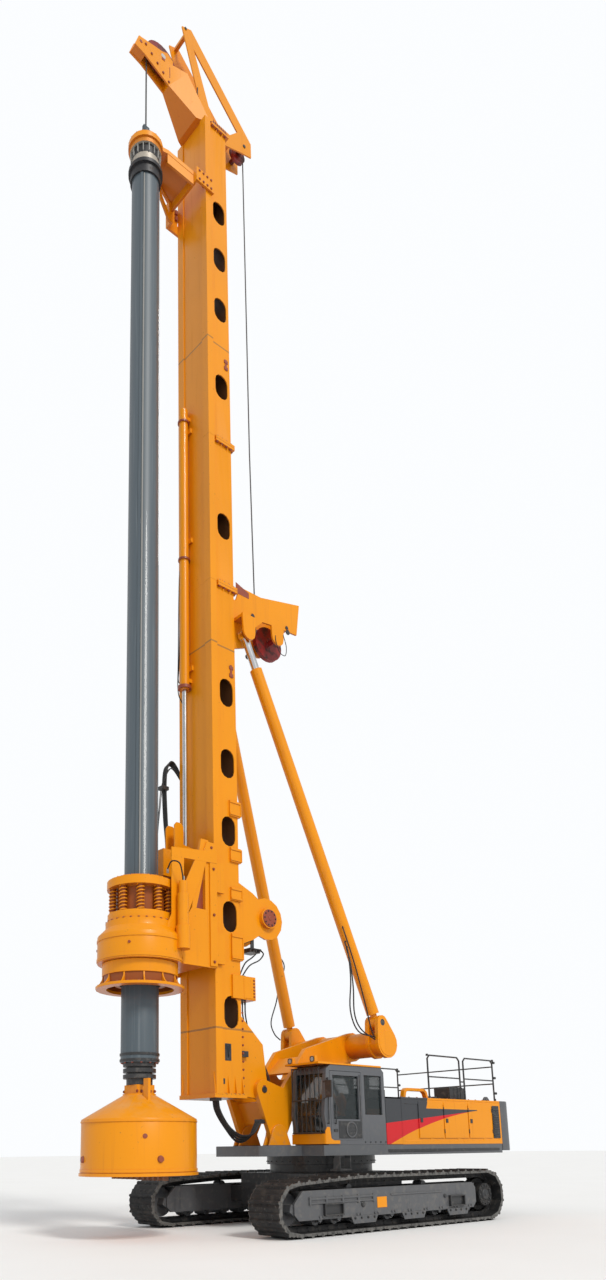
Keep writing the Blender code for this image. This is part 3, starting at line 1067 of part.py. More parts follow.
# Winch on the mast's back: side plates with a motor cover, and its drum
WINCH_BACK = 0.91
WINCH_Z = 6.90
WINCH_INNER_Y = 0.42
WINCH_PLATE = 0.05
WINCH_ROUND = 0.50
WINCH_ROOT = 0.75
WINCH_SHOULDER = 0.55
SHOULDER_BACK = 0.48
WINCH_COVER = 0.24
COVER_OUT = 0.10
WINCH_WEB = 0.06
WEB_OFF = 0.06
WEB_HALF_SHARE = 0.8
DRUM_RADIUS = 0.30
DRUM_FLANGE = 0.42
DRUM_LIP = 0.03
winch_place = (MAST_REAR - WINCH_BACK, WINCH_Z)
winch_y = (WINCH_INNER_Y, WINCH_INNER_Y + WINCH_PLATE)
winch_outline = [(MAST_REAR - SEAT_GAP, WINCH_Z - WINCH_ROOT), (MAST_REAR - SEAT_GAP, WINCH_Z + WINCH_ROOT),
                 (MAST_REAR - SHOULDER_BACK, WINCH_Z + WINCH_SHOULDER), *arc(winch_place, WINCH_ROUND, 60, 300, 10),
                 (MAST_REAR - SHOULDER_BACK, WINCH_Z - WINCH_SHOULDER)]
winch_side = fuse(plate(winch_outline, "XZ", *winch_y),
                  ring((winch_place[0], 0, WINCH_Z), WINCH_COVER, 0, winch_y[1] - SINK, winch_y[1] + COVER_OUT, ROUND_SIDES, "Y"))
winch_web = block((MAST_REAR - WEB_OFF - WINCH_WEB, MAST_REAR - WEB_OFF), (-WINCH_INNER_Y - SINK, WINCH_INNER_Y + SINK),
                  (WINCH_Z - WINCH_ROOT * WEB_HALF_SHARE, WINCH_Z + WINCH_ROOT * WEB_HALF_SHARE))
part("winch_frame", fuse(winch_side, mirrored(winch_side), winch_web), "mast", YELLOW, 0.35)
pivot("winch", "mast", (winch_place[0], 0, WINCH_Z))
drum_half = WINCH_INNER_Y - RUNNING_GAP
drum = turned([(DRUM_FLANGE, drum_half), (DRUM_FLANGE, drum_half - DRUM_LIP), (DRUM_RADIUS, drum_half - DRUM_LIP),
               (DRUM_RADIUS, -drum_half + DRUM_LIP), (DRUM_FLANGE, -drum_half + DRUM_LIP), (DRUM_FLANGE, -drum_half),
               (SHEAVE_AXLE, -drum_half), (SHEAVE_AXLE, drum_half)], (winch_place[0], 0, WINCH_Z), ROUND_SIDES, "Y")
drum_axle = ring((winch_place[0], 0, WINCH_Z), SHEAVE_AXLE + SINK / 2, 0, -WINCH_INNER_Y + SEAT_GAP, WINCH_INNER_Y - SEAT_GAP,
                 SMALL_SIDES, "Y")
part("winch_drum", fuse(drum, drum_axle), "winch", DARK, 0.5, 0.4)

# Kelly guide: a slide on the mast rails with a ring round the kelly's neck
pivot("kelly", "mast", (KELLY_X, 0, MAST_BOTTOM))
HEAD_TOP = 27.34
NECK_RADIUS = 0.22
GUIDE_LIP = 0.01
GUIDE_ARM = 0.14
GUIDE_RING = 0.46
GUIDE_LOW = 26.42
GUIDE_HEIGHT = 0.80
GUIDE_OUT = 0.34
GUIDE_PLATE = 0.06
GUIDE_SHOE = 0.30
NEAR_SHOE = 0.44
WAIST_SHARE = 0.4
HOOK_INSET = 0.02
HOOK_REACH = 0.06
ARM_HALF = 0.55
ARM_TIP_HALF = 0.36
ARM_FALL = 0.30
ARM_BEFORE_KELLY = 0.47
NECK_TIP_HALF = 0.30
ARM_LIP = 0.30
LIP_INSET = 0.04
FAR_WEB_Y = 0.50
guide_ring_z = (HEAD_TOP + SEAT_GAP + GUIDE_LIP, HEAD_TOP + GUIDE_ARM)
guide_z = (GUIDE_LOW, GUIDE_LOW + GUIDE_HEIGHT)
guide_x = (MAST_FRONT + GUIDE_OUT, MAST_FRONT + GUIDE_OUT + GUIDE_PLATE)
rail_side_y = MAST_HALF_WIDTH + RAIL_OUT + RUNNING_GAP
guide_side_y = (rail_side_y, rail_side_y + GUIDE_PLATE)
hook_front = MAST_FRONT - RAIL_DEEP - SEAT_GAP
hook_rear = hook_front - HOOK - STEP
hook_inner_y = MAST_HALF_WIDTH + RAIL_OUT - HOOK_REACH
arm_tip_x = KELLY_X - ARM_BEFORE_KELLY
far_waist_x = hook_rear + WAIST_SHARE * (guide_x[1] - hook_rear)
low_shoe_top, high_shoe_low = guide_z[0] + GUIDE_SHOE, guide_z[1] - GUIDE_SHOE
near_low = guide_z[1] - NEAR_SHOE
near_side = plate([(hook_rear, near_low), (guide_x[1], near_low), (guide_x[1], guide_z[1]), (hook_rear, guide_z[1])], "XZ", *guide_side_y)
near_hook = block((hook_front - HOOK, hook_front), (hook_inner_y, guide_side_y[1] - SINK), (near_low + HOOK_INSET, guide_z[1] - HOOK_INSET))
far_side = plate([(hook_rear, guide_z[0]), (guide_x[1], guide_z[0]), (guide_x[1], guide_z[1]), (hook_rear, guide_z[1]),
                  (hook_rear, high_shoe_low), (far_waist_x, high_shoe_low), (far_waist_x, low_shoe_top), (hook_rear, low_shoe_top)],
                 "XZ", -guide_side_y[1], -guide_side_y[0])
far_hooks = [block((hook_front - HOOK, hook_front), (-guide_side_y[1] + SINK, -hook_inner_y), z)
             for z in ((guide_z[0] + HOOK_INSET, low_shoe_top - HOOK_INSET), (high_shoe_low + HOOK_INSET, guide_z[1] - HOOK_INSET))]
cross_beam = block((guide_x[0], guide_x[1] - STEP), (-guide_side_y[1] + STEP, guide_side_y[1] - STEP), (near_low + STEP, guide_z[1] - STEP))
far_foot = block((guide_x[0], guide_x[1] - STEP), (-guide_side_y[1] + STEP, -FAR_WEB_Y + GUIDE_PLATE), (guide_z[0] + STEP, near_low + SINK))
guide_arm = plate([(guide_x[1] - SINK, -ARM_HALF), (arm_tip_x, -ARM_TIP_HALF), (arm_tip_x, ARM_TIP_HALF), (guide_x[1] - SINK, ARM_HALF)],
                  "XY", *guide_ring_z)
guide_neck = plate([(arm_tip_x - STEP, -ARM_TIP_HALF + STEP), (KELLY_X - NECK_RADIUS, -NECK_TIP_HALF), (KELLY_X - NECK_RADIUS, NECK_TIP_HALF),
                    (arm_tip_x - STEP, ARM_TIP_HALF - STEP)], "XY", *guide_ring_z)
near_lip = plate(strap((guide_x[1] - SINK, ARM_HALF - LIP_INSET), (arm_tip_x, ARM_TIP_HALF - LIP_INSET), GUIDE_PLATE), "XY",
                 guide_ring_z[0] - ARM_LIP, guide_ring_z[0] + SINK)
for sloped in (guide_arm, near_lip):
    for vertex in sloped.data.vertices:
        vertex.co.z -= ARM_FALL * (arm_tip_x - vertex.co.x) / (arm_tip_x - guide_x[1])
# Shares of the far web's reach from the cross beam and of its height
FAR_WEB_SHARES = ((0.0, 0.0), (0.16, 0.0), (0.62, 0.45), (0.92, 0.93), (1.0, 1.0), (0.0, 0.76))
FAR_WEB_HOLE_SHARES = ((0.14, 0.24), (0.50, 0.56), (0.66, 0.78), (0.14, 0.66))
web_corner, web_far_corner = (guide_x[1] - SINK, guide_z[0] + STEP), (arm_tip_x - SINK, guide_ring_z[0] + SINK)
far_web = plate(spread(FAR_WEB_SHARES, web_corner, web_far_corner), "XZ", -FAR_WEB_Y, -FAR_WEB_Y + GUIDE_PLATE,
                [spread(FAR_WEB_HOLE_SHARES, web_corner, web_far_corner)])
for vertex in far_web.data.vertices:
    vertex.co.y += (FAR_WEB_Y - ARM_TIP_HALF) * (vertex.co.x - guide_x[1]) / (arm_tip_x - guide_x[1])
kelly_middle = (KELLY_X, 0, 0)
kelly_guide = cut(fuse(cross_beam, near_side, near_hook, far_side, *far_hooks, far_foot, guide_arm, guide_neck, near_lip, far_web,
                       ring(kelly_middle, GUIDE_RING, 0, guide_ring_z[0] - GUIDE_LIP, guide_ring_z[1] + GUIDE_LIP, ROUND_SIDES)),
                  ring(kelly_middle, NECK_RADIUS + 2 * RUNNING_GAP, 0, guide_ring_z[0] - OVERRUN, guide_ring_z[1] + OVERRUN, ROUND_SIDES))
part("kelly_guide", kelly_guide, "kelly", YELLOW, 0.35)

# Kelly: the outer tube with its drive keys and wider foot, and the collared head with its rope swivel
KELLY_WALL = 0.04
KEY = 0.022
KEY_WIDTH = 0.06
KEYS = 3
KEY_TURN = 40
FOOT_TOP = 5.30
FOOT_LOW = 3.44
FOOT_TAPER = 0.10
TUBE_TOP = 26.24
tube_body = turned([(KELLY_RADIUS, TUBE_TOP), (KELLY_RADIUS, FOOT_TOP), (SLEEVE_RADIUS, FOOT_TOP - FOOT_TAPER), (SLEEVE_RADIUS, FOOT_LOW),
                    (KELLY_RADIUS - KELLY_WALL, FOOT_LOW), (KELLY_RADIUS - KELLY_WALL, TUBE_TOP)], kelly_middle, ROUND_SIDES)
keys = []
for index in range(KEYS):
    key = block((KELLY_RADIUS - KEY_WIDTH / 2, KELLY_RADIUS + KEY), (-KEY_WIDTH / 2, KEY_WIDTH / 2), (FOOT_TOP - SINK, TUBE_TOP - SINK))
    key.data.transform(Matrix.Translation(kelly_middle) @ Matrix.Rotation(math.radians(index * 360 / KEYS + KEY_TURN), 4, "Z"))
    keys.append(key)
part("kelly_tube", fuse(tube_body, *keys), "kelly", KELLY_GREY, 0.35, 0.3)
HEAD_RING = 0.40
HEAD_RING_HEIGHT = 0.27
COLLAR_RADIUS = 0.45
COLLAR_HEIGHT = 0.11
HEAD_BODY = 0.36
CAP_RADIUS = 0.42
CAP_HEIGHT = 0.15
NECK_HEIGHT = 0.28
SWIVEL_RADIUS = 0.12
SWIVEL_HEIGHT = 0.38
SWIVEL_EYE = 0.09
SWIVEL_EYE_HALF = 0.04
SWIVEL_EYE_HEIGHT = 0.22
head_seat = TUBE_TOP + SEAT_GAP
collar_low = head_seat + HEAD_RING_HEIGHT
neck_top = HEAD_TOP + NECK_HEIGHT
swivel_top = neck_top + SWIVEL_HEIGHT
kelly_head = fuse(
    turned([(HEAD_RING, collar_low), (HEAD_RING, head_seat), (SWIVEL_RADIUS, head_seat), (SWIVEL_RADIUS, swivel_top - SINK),
            (NECK_RADIUS, neck_top), (NECK_RADIUS, HEAD_TOP), (CAP_RADIUS, HEAD_TOP), (CAP_RADIUS, HEAD_TOP - CAP_HEIGHT),
            (HEAD_BODY, HEAD_TOP - CAP_HEIGHT), (HEAD_BODY, collar_low + COLLAR_HEIGHT), (COLLAR_RADIUS, collar_low + COLLAR_HEIGHT),
            (COLLAR_RADIUS, collar_low)], kelly_middle, ROUND_SIDES),
    bar((KELLY_X, 0, head_seat + SINK), (KELLY_X, 0, swivel_top), SWIVEL_RADIUS + SINK, SMALL_SIDES),
    block((KELLY_X - SWIVEL_EYE, KELLY_X + SWIVEL_EYE), (-SWIVEL_EYE_HALF, SWIVEL_EYE_HALF), (swivel_top - SINK, swivel_top + SWIVEL_EYE_HEIGHT)))
part("kelly_head", kelly_head, "kelly", (0.45, 0.46, 0.46), 0.4, 0.3)
STUB_RADIUS = 0.27
STUB_BORE = 0.14
STUB_HEIGHT = 0.45
RIDGE_RADIUS = 0.34
RIDGE_HEIGHT = 0.085
RIDGE_PITCH = 0.12
RIDGES = 3
stub_top = FOOT_LOW - SEAT_GAP
stub_low = FOOT_LOW - STUB_HEIGHT
ridge_profile = []
for index in range(RIDGES):
    top = stub_top - index * RIDGE_PITCH
    ridge_profile += [(STUB_RADIUS, top), (RIDGE_RADIUS, top), (RIDGE_RADIUS, top - RIDGE_HEIGHT), (STUB_RADIUS, top - RIDGE_HEIGHT)]
stub = turned([*ridge_profile[1:], (STUB_RADIUS, stub_low), (STUB_BORE, stub_low), (STUB_BORE, stub_top)], kelly_middle, ROUND_SIDES)
part("kelly_stub", stub, "kelly", DARK, 0.7)

# Drilling bucket: an open-bottomed drum with a coned roof and a square socket for the kelly's stub
BUCKET_SIDES = 36
BUCKET_WALL = 0.04
BUCKET_LOW = 1.27
BUCKET_HEIGHT = 1.03
CONE_HEIGHT = 0.48
CROWN_RADIUS = 0.34
CROWN_THICK = 0.09
CROWN_OUT = 0.03
SOCKET_HALF = 0.22
SOCKET_DEEP = 0.20
FLAG_X = 0.10
FLAG_Y = 0.36
FLAG_WIDTH = 0.16
FLAG_THICK = 0.06
FLAG_HEIGHT = 0.57
FLAG_SINK = 0.25
shoulder_z = BUCKET_LOW + BUCKET_HEIGHT
crown_z = shoulder_z + CONE_HEIGHT
bucket_inner = BUCKET_RADIUS - BUCKET_WALL
shell = turned([(CROWN_RADIUS, crown_z), (BUCKET_RADIUS, shoulder_z), (BUCKET_RADIUS, BUCKET_LOW), (bucket_inner, BUCKET_LOW),
                (bucket_inner, shoulder_z - BUCKET_WALL), (CROWN_RADIUS - BUCKET_WALL, crown_z - BUCKET_WALL)], kelly_middle, BUCKET_SIDES)
socket = block((KELLY_X - SOCKET_HALF, KELLY_X + SOCKET_HALF), (-SOCKET_HALF, SOCKET_HALF), (crown_z - SOCKET_DEEP, stub_low - SEAT_GAP))
crown_plate = bar((KELLY_X, 0, crown_z + CROWN_OUT - CROWN_THICK), (KELLY_X, 0, crown_z + CROWN_OUT), CROWN_RADIUS, ROUND_SIDES)
flag = block((KELLY_X + FLAG_X, KELLY_X + FLAG_X + FLAG_THICK), (FLAG_Y, FLAG_Y + FLAG_WIDTH),
             (crown_z - FLAG_SINK, crown_z - FLAG_SINK + FLAG_HEIGHT))
part("bucket_shell", fuse(shell, socket, crown_plate, flag), "kelly", YELLOW, 0.4)

# Bucket gate: the hinged bottom with two rows of teeth
GATE_PLATE = 0.06
TOOTH_LENGTH = 0.085
TEETH = 6
TOOTH_FIRST = 0.16
TOOTH_PITCH = 0.17
TOOTH_LEAD = 0.10
TOOTH_HALF = (0.05, 0.035)
gate_top = BUCKET_LOW - SEAT_GAP
gate_low = gate_top - GATE_PLATE
pivot("gate", "kelly", (KELLY_X + BUCKET_RADIUS + BUCKET_FLANGE, 0, gate_top))
gate = [bar((KELLY_X, 0, gate_low), (KELLY_X, 0, gate_top), BUCKET_RADIUS + BUCKET_FLANGE, BUCKET_SIDES)]
for side in (1, -1):
    for index in range(TEETH):
        y = side * (TOOTH_FIRST + TOOTH_PITCH * index)
        x = KELLY_X + side * TOOTH_LEAD
        gate.append(block((x - TOOTH_HALF[0], x + TOOTH_HALF[0]), (y - TOOTH_HALF[1], y + TOOTH_HALF[1]),
                          (gate_low - TOOTH_LENGTH, gate_low + SINK)))
part("bucket_gate", fuse(*gate), "gate", YELLOW, 0.45)

# Carriage: the frame that runs on the mast rails, with shoes, side trusses and the seat of the rotary housing
CARRIAGE_LOW = 5.49
CARRIAGE_HEIGHT = 2.86
CARRIAGE_GAP = 0.02
CARRIAGE_REACH = 1.06
CARRIAGE_PLATE = 0.07
HOUSING_RADIUS = 0.905
HOUSING_HEIGHT = 0.87
SHOE_HEIGHT = 0.70
SHOE_OUT = 0.07
SHOE_LOW_SHARES = (0.04, 0.60)
HOOK_TRIM = 0.02
MID_PLATE = 0.06
MID_OUT = 0.295
MID_DROP = 0.15
SEAT_TOP = 0.56
SEAT_FRONT = 0.70
ROD_BLOCK_HALF = 0.11
ROD_BLOCK_BACK = 0.09
ROD_BLOCK_THICK = 0.14
ROD_BLOCK_Z = 8.16
# Shares of the side plate's reach and height
SIDE_SHARES = ((0.0, 0.0), (0.892, 0.0), (1.0, 0.248), (0.665, 0.441), (0.419, 1.0), (0.229, 1.0), (0.0, 0.860))
SIDE_HOLE_SHARES = ((0.314, 0.441), (0.551, 0.441), (0.314, 0.790))
pivot("carriage", "mast", (MAST_FRONT, 0, MAST_BOTTOM))
carriage_high = CARRIAGE_LOW + CARRIAGE_HEIGHT
housing_high = CARRIAGE_LOW + HOUSING_HEIGHT
carriage_side_y = (rail_side_y, rail_side_y + CARRIAGE_PLATE)
side_corner = (MAST_FRONT + CARRIAGE_GAP, CARRIAGE_LOW)
side_far_corner = (side_corner[0] + CARRIAGE_REACH, carriage_high)
side_plate = plate(spread(SIDE_SHARES, side_corner, side_far_corner), "XZ", *carriage_side_y,
                   [spread(SIDE_HOLE_SHARES, side_corner, side_far_corner)])
shoe_bands = [(CARRIAGE_LOW + share * CARRIAGE_HEIGHT, CARRIAGE_LOW + share * CARRIAGE_HEIGHT + SHOE_HEIGHT) for share in SHOE_LOW_SHARES]
shoes = [block((hook_rear, MAST_FRONT + SHOE_OUT), (carriage_side_y[0] + STEP, carriage_side_y[1] - STEP), band) for band in shoe_bands]
shoe_hooks = [block((hook_front - HOOK, hook_front), (hook_inner_y, carriage_side_y[1] - HOOK_TRIM), (low + HOOK_TRIM, high - HOOK_TRIM))
              for low, high in shoe_bands]
half_carriage = fuse(side_plate, *shoes, *shoe_hooks)
mid_y = (-carriage_side_y[0] - SINK, carriage_side_y[0] + SINK)
mid_x = (MAST_FRONT + MID_OUT, MAST_FRONT + MID_OUT + MID_PLATE)
carriage_mid = [block(mid_x, mid_y, (CARRIAGE_LOW + SINK, carriage_high - MID_DROP)),
                block((mid_x[1] - SINK, KELLY_X - SEAT_FRONT), mid_y, (CARRIAGE_LOW + SINK, CARRIAGE_LOW + SEAT_TOP)),
                block((crowd_x - ROD_BLOCK_BACK, mid_x[0] + SINK), (CROWD_Y - ROD_BLOCK_HALF, CROWD_Y + ROD_BLOCK_HALF),
                      (ROD_BLOCK_Z - ROD_BLOCK_THICK, ROD_BLOCK_Z))]
carriage = cut(fuse(half_carriage, mirrored(half_carriage), *carriage_mid),
               ring(kelly_middle, HOUSING_RADIUS + SEAT_GAP, 0, CARRIAGE_LOW - OVERRUN, housing_high + OVERRUN, BUCKET_SIDES))
part("carriage_frame", carriage, "carriage", YELLOW, 0.35)
ROD_REACH = 6.34
part("crowd_rod", bar((crowd_x, CROWD_Y, ROD_BLOCK_Z + SEAT_GAP), (crowd_x, CROWD_Y, ROD_BLOCK_Z + ROD_REACH), CROWD_ROD, CROWD_SIDES),
     "carriage", CHROME, 0.15, 1.0)

# Rotary housing: the round gear case, bored for the drive sleeve, with a post under each motor
HOUSING_BORE = 0.55
HOUSING_SHOULDER = 0.74
SHOULDER_DROP = 0.14
CHAMFER_DROP = 0.31
MOTOR = (4.80, 0.85)
MOTOR_RADIUS = 0.12
MOTOR_POST = 0.15
MOTOR_LOW = 6.25
POST_HEIGHT = 0.50
MOTOR_HEIGHT = 0.70
TAIL_HEIGHT = 0.27
TAIL_SHARE = 0.75
MOTOR_SIDES = 16
ear_post = bar((*MOTOR, MOTOR_LOW - POST_HEIGHT), (*MOTOR, MOTOR_LOW), MOTOR_POST, MOTOR_SIDES)
housing = turned([(HOUSING_SHOULDER, housing_high), (HOUSING_SHOULDER, housing_high - SHOULDER_DROP), (HOUSING_RADIUS, housing_high - CHAMFER_DROP),
                  (HOUSING_RADIUS, CARRIAGE_LOW), (HOUSING_BORE, CARRIAGE_LOW), (HOUSING_BORE, housing_high)], kelly_middle, BUCKET_SIDES)
part("rotary_housing", fuse(housing, ear_post, mirrored(ear_post)), "carriage", YELLOW, 0.35)
motor = fuse(bar((*MOTOR, MOTOR_LOW + SEAT_GAP), (*MOTOR, MOTOR_LOW + MOTOR_HEIGHT), MOTOR_RADIUS, MOTOR_SIDES),
             bar((*MOTOR, MOTOR_LOW + MOTOR_HEIGHT - SINK), (*MOTOR, MOTOR_LOW + MOTOR_HEIGHT + TAIL_HEIGHT), MOTOR_RADIUS * TAIL_SHARE, MOTOR_SIDES))
pair("rotary_motor", motor, "carriage", DARK, 0.4, 0.4)

# Drive sleeve: turns in the housing; the spring pack above and the casing drive below are on it
SLEEVE_OUTER = 0.53
SLEEVE_REACH = 0.45
SPRING_RING = 0.72
SPRING_SEAT = 0.70
SPRING_INNER = 0.48
SPRING_CIRCLE = 0.615
SPRING_RADIUS = 0.06
SPRING_HEIGHT = 0.55
SPRING_SIDES = 8
SEAT_HEIGHT_RING = 0.18
TOP_HEIGHT = 0.18
SPRINGS = 10
pivot("drive", "carriage", (KELLY_X, 0, CARRIAGE_LOW))
seat_low = housing_high + SEAT_GAP
spring_low = housing_high + SEAT_HEIGHT_RING
spring_top = spring_low + SPRING_HEIGHT
sleeve_top = spring_top + TOP_HEIGHT
spring_pack = [ring(kelly_middle, SLEEVE_OUTER, BORE_RADIUS, CARRIAGE_LOW - SLEEVE_REACH, sleeve_top, ROUND_SIDES),
               ring(kelly_middle, SPRING_RING, SPRING_INNER, spring_top, sleeve_top - STEP, ROUND_SIDES),
               ring(kelly_middle, SPRING_SEAT, SPRING_INNER, seat_low, spring_low, ROUND_SIDES)]
for index in range(SPRINGS):
    angle = 2 * math.pi * (index + 0.5) / SPRINGS
    x, y = KELLY_X + SPRING_CIRCLE * math.cos(angle), SPRING_CIRCLE * math.sin(angle)
    spring_pack.append(bar((x, y, spring_low - SINK), (x, y, spring_top + SINK), SPRING_RADIUS, SPRING_SIDES))
part("spring_pack", combine(spring_pack[0], spring_pack[1:], "UNION", "MANIFOLD"), "drive", YELLOW, 0.35)
CASING_DRUM = 0.80
CASING_WALL = 0.77
CASING_BORE = 0.71
CASING_HEIGHT = 0.532
DRUM_HEIGHT = 0.262
SKIRT_RADIUS = 0.93
SKIRT_LIP = 0.06
CASING_ROOF = 0.082
RIBS = 12
RIB_THICK = 0.03
RIB_ROOT = 0.01
# Shares of the rib's reach and height
RIB_SHARES = ((0.0, 0.0), (0.94, 0.0), (0.55, 0.30), (0.28, 0.65), (0.20, 1.0), (0.0, 1.0))
casing_top = CARRIAGE_LOW - RUNNING_GAP
casing_low = casing_top - CASING_HEIGHT
flange_top, drum_low = casing_low + SKIRT_LIP, casing_top - DRUM_HEIGHT
casing = turned([(CASING_DRUM, casing_top), (CASING_DRUM, drum_low), (CASING_WALL, drum_low), (CASING_WALL, flange_top),
                 (SKIRT_RADIUS, flange_top), (SKIRT_RADIUS, casing_low),
                 (CASING_BORE, casing_low), (CASING_BORE, casing_top - CASING_ROOF),
                 (SLEEVE_OUTER + SEAT_GAP, casing_top - CASING_ROOF), (SLEEVE_OUTER + SEAT_GAP, casing_top)], kelly_middle, ROUND_SIDES)
ribs = []
for index in range(RIBS):
    rib = plate(spread(RIB_SHARES, (CASING_WALL - SINK, flange_top - RIB_ROOT), (SKIRT_RADIUS, drum_low + RIB_ROOT)),
                "XZ", -RIB_THICK / 2, RIB_THICK / 2)
    rib.data.transform(Matrix.Translation(kelly_middle) @ Matrix.Rotation(2 * math.pi * index / RIBS, 4, "Z"))
    ribs.append(rib)
casing = fuse(casing, *ribs)
part("casing_drive", casing, "drive", YELLOW, 0.35)

for leftover in list(cutters.objects):
    leftover.hide_render = True
    leftover.display_type = "WIRE"
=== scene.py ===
"""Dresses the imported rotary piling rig: paint, steel, glass, ropes, hoses and small fittings.

Places are metres in the row frame. X runs towards the drilling axis, Y towards the near side, Z up.
"""

import json
import math

import bmesh
import bpy
from mathutils import Matrix, Vector

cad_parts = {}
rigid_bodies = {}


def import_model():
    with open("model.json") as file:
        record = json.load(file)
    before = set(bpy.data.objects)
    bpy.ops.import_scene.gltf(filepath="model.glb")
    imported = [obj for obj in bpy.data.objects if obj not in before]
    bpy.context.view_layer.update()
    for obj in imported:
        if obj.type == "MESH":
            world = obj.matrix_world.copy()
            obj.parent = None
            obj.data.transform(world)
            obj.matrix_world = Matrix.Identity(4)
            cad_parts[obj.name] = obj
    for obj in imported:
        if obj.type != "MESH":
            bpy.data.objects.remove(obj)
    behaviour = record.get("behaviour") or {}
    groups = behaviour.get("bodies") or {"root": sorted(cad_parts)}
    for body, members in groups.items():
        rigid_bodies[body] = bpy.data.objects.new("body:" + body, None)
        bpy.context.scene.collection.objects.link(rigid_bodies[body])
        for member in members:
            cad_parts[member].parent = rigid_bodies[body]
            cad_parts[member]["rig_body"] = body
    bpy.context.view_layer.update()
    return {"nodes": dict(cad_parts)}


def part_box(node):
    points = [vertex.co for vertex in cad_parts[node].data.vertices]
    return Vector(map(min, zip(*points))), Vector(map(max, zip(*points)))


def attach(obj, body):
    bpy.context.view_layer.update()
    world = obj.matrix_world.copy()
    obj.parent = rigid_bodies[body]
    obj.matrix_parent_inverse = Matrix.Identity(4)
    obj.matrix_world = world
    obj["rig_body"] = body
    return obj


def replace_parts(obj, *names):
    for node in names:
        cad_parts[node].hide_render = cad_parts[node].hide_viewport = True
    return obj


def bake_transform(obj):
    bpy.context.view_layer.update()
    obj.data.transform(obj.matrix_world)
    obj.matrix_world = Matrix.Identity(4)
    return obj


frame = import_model()

# Camera
# The photograph is taken from standing height, ahead of the rig on its near side, with a short lens.
# Its frame is tall and narrow, and the shift puts the tracks low in it without tilting the view more.

PICTURE = (606, 1280)
SENSOR = 36.0
FOCAL_PIXELS = 909.89
EYE = Vector((15.8975, 15.29, 1.70))
PAN, TILT, ROLL = (math.radians(angle) for angle in (-40.28, 12.89, -0.65))

# PAN is the turn of the sight line from straight across the rig (-Y), towards its tail
ahead = Vector((math.sin(PAN) * math.cos(TILT), -math.cos(PAN) * math.cos(TILT), math.sin(TILT)))
right = ahead.cross(Vector((0, 0, 1))).normalized()
above = right.cross(ahead)
right, above = (right * math.cos(ROLL) + above * math.sin(ROLL),
                above * math.cos(ROLL) - right * math.sin(ROLL))

lens = bpy.data.cameras.new("camera")
lens.sensor_width = SENSOR
lens.lens = FOCAL_PIXELS / PICTURE[1] * SENSOR
lens.shift_x = 0.0710
lens.shift_y = 0.2352
lens.clip_end = 400
camera = bpy.data.objects.new("camera", lens)
camera.matrix_world = Matrix.Translation(EYE) @ Matrix((right, above, -ahead)).transposed().to_4x4()
bpy.context.scene.collection.objects.link(camera)
bpy.context.scene.camera = camera
bpy.context.scene.view_settings.view_transform = "Standard"


# Studio
# A pale matt floor and a white surround stand in for the cut-out white of the picture.
# One large soft sun comes from the near side and above, so the drill face of the mast stays darker.

SUN_FROM = Vector((0.10, 0.74, 0.66))
FLOOR_HALF = 260.0


class Tap:
    """A socket's value in a node tree. Sums and products of taps add the Math nodes."""

    def __init__(self, tree, socket):
        self.tree, self.socket = tree, socket

    def math(self, operation, *others, first=None):
        node = self.tree.nodes.new("ShaderNodeMath")
        node.operation = operation
        for slot, part in zip(node.inputs, (first, self, *others) if first is not None else (self, *others)):
            feed(self.tree, slot, part)
        return Tap(self.tree, node.outputs[0])

    def __add__(self, other):
        return self.math("ADD", other)

    def __sub__(self, other):
        return self.math("SUBTRACT", other)

    def __rsub__(self, other):
        return self.math("SUBTRACT", first=other)

    def __mul__(self, other):
        return self.math("MULTIPLY", other)

    def __truediv__(self, other):
        return self.math("DIVIDE", other)

    def __gt__(self, limit):
        return self.math("GREATER_THAN", limit)

    def __lt__(self, limit):
        return self.math("LESS_THAN", limit)

    __radd__, __rmul__ = __add__, __mul__

    def near(self, place, reach):
        """1 within reach of a place, and 0 beyond."""
        return abs(self - place) < reach

    def __abs__(self):
        return self.math("ABSOLUTE")

    def ramp(self, low, high):
        """0 below low and 1 above high, smooth between them."""
        node = self.tree.nodes.new("ShaderNodeMapRange")
        node.interpolation_type = "SMOOTHSTEP"
        feed(self.tree, node.inputs["Value"], self)
        node.inputs["From Min"].default_value, node.inputs["From Max"].default_value = low, high
        return Tap(self.tree, node.outputs["Result"])


def feed(tree, socket, part):
    """Gives a socket a link from a tap, or a plain value."""
    if isinstance(part, Tap):
        tree.links.new(part.socket, socket)
    elif hasattr(part, "__len__") and len(part) == 3 and socket.type == "RGBA":
        socket.default_value = (*part, 1)
    else:
        socket.default_value = part


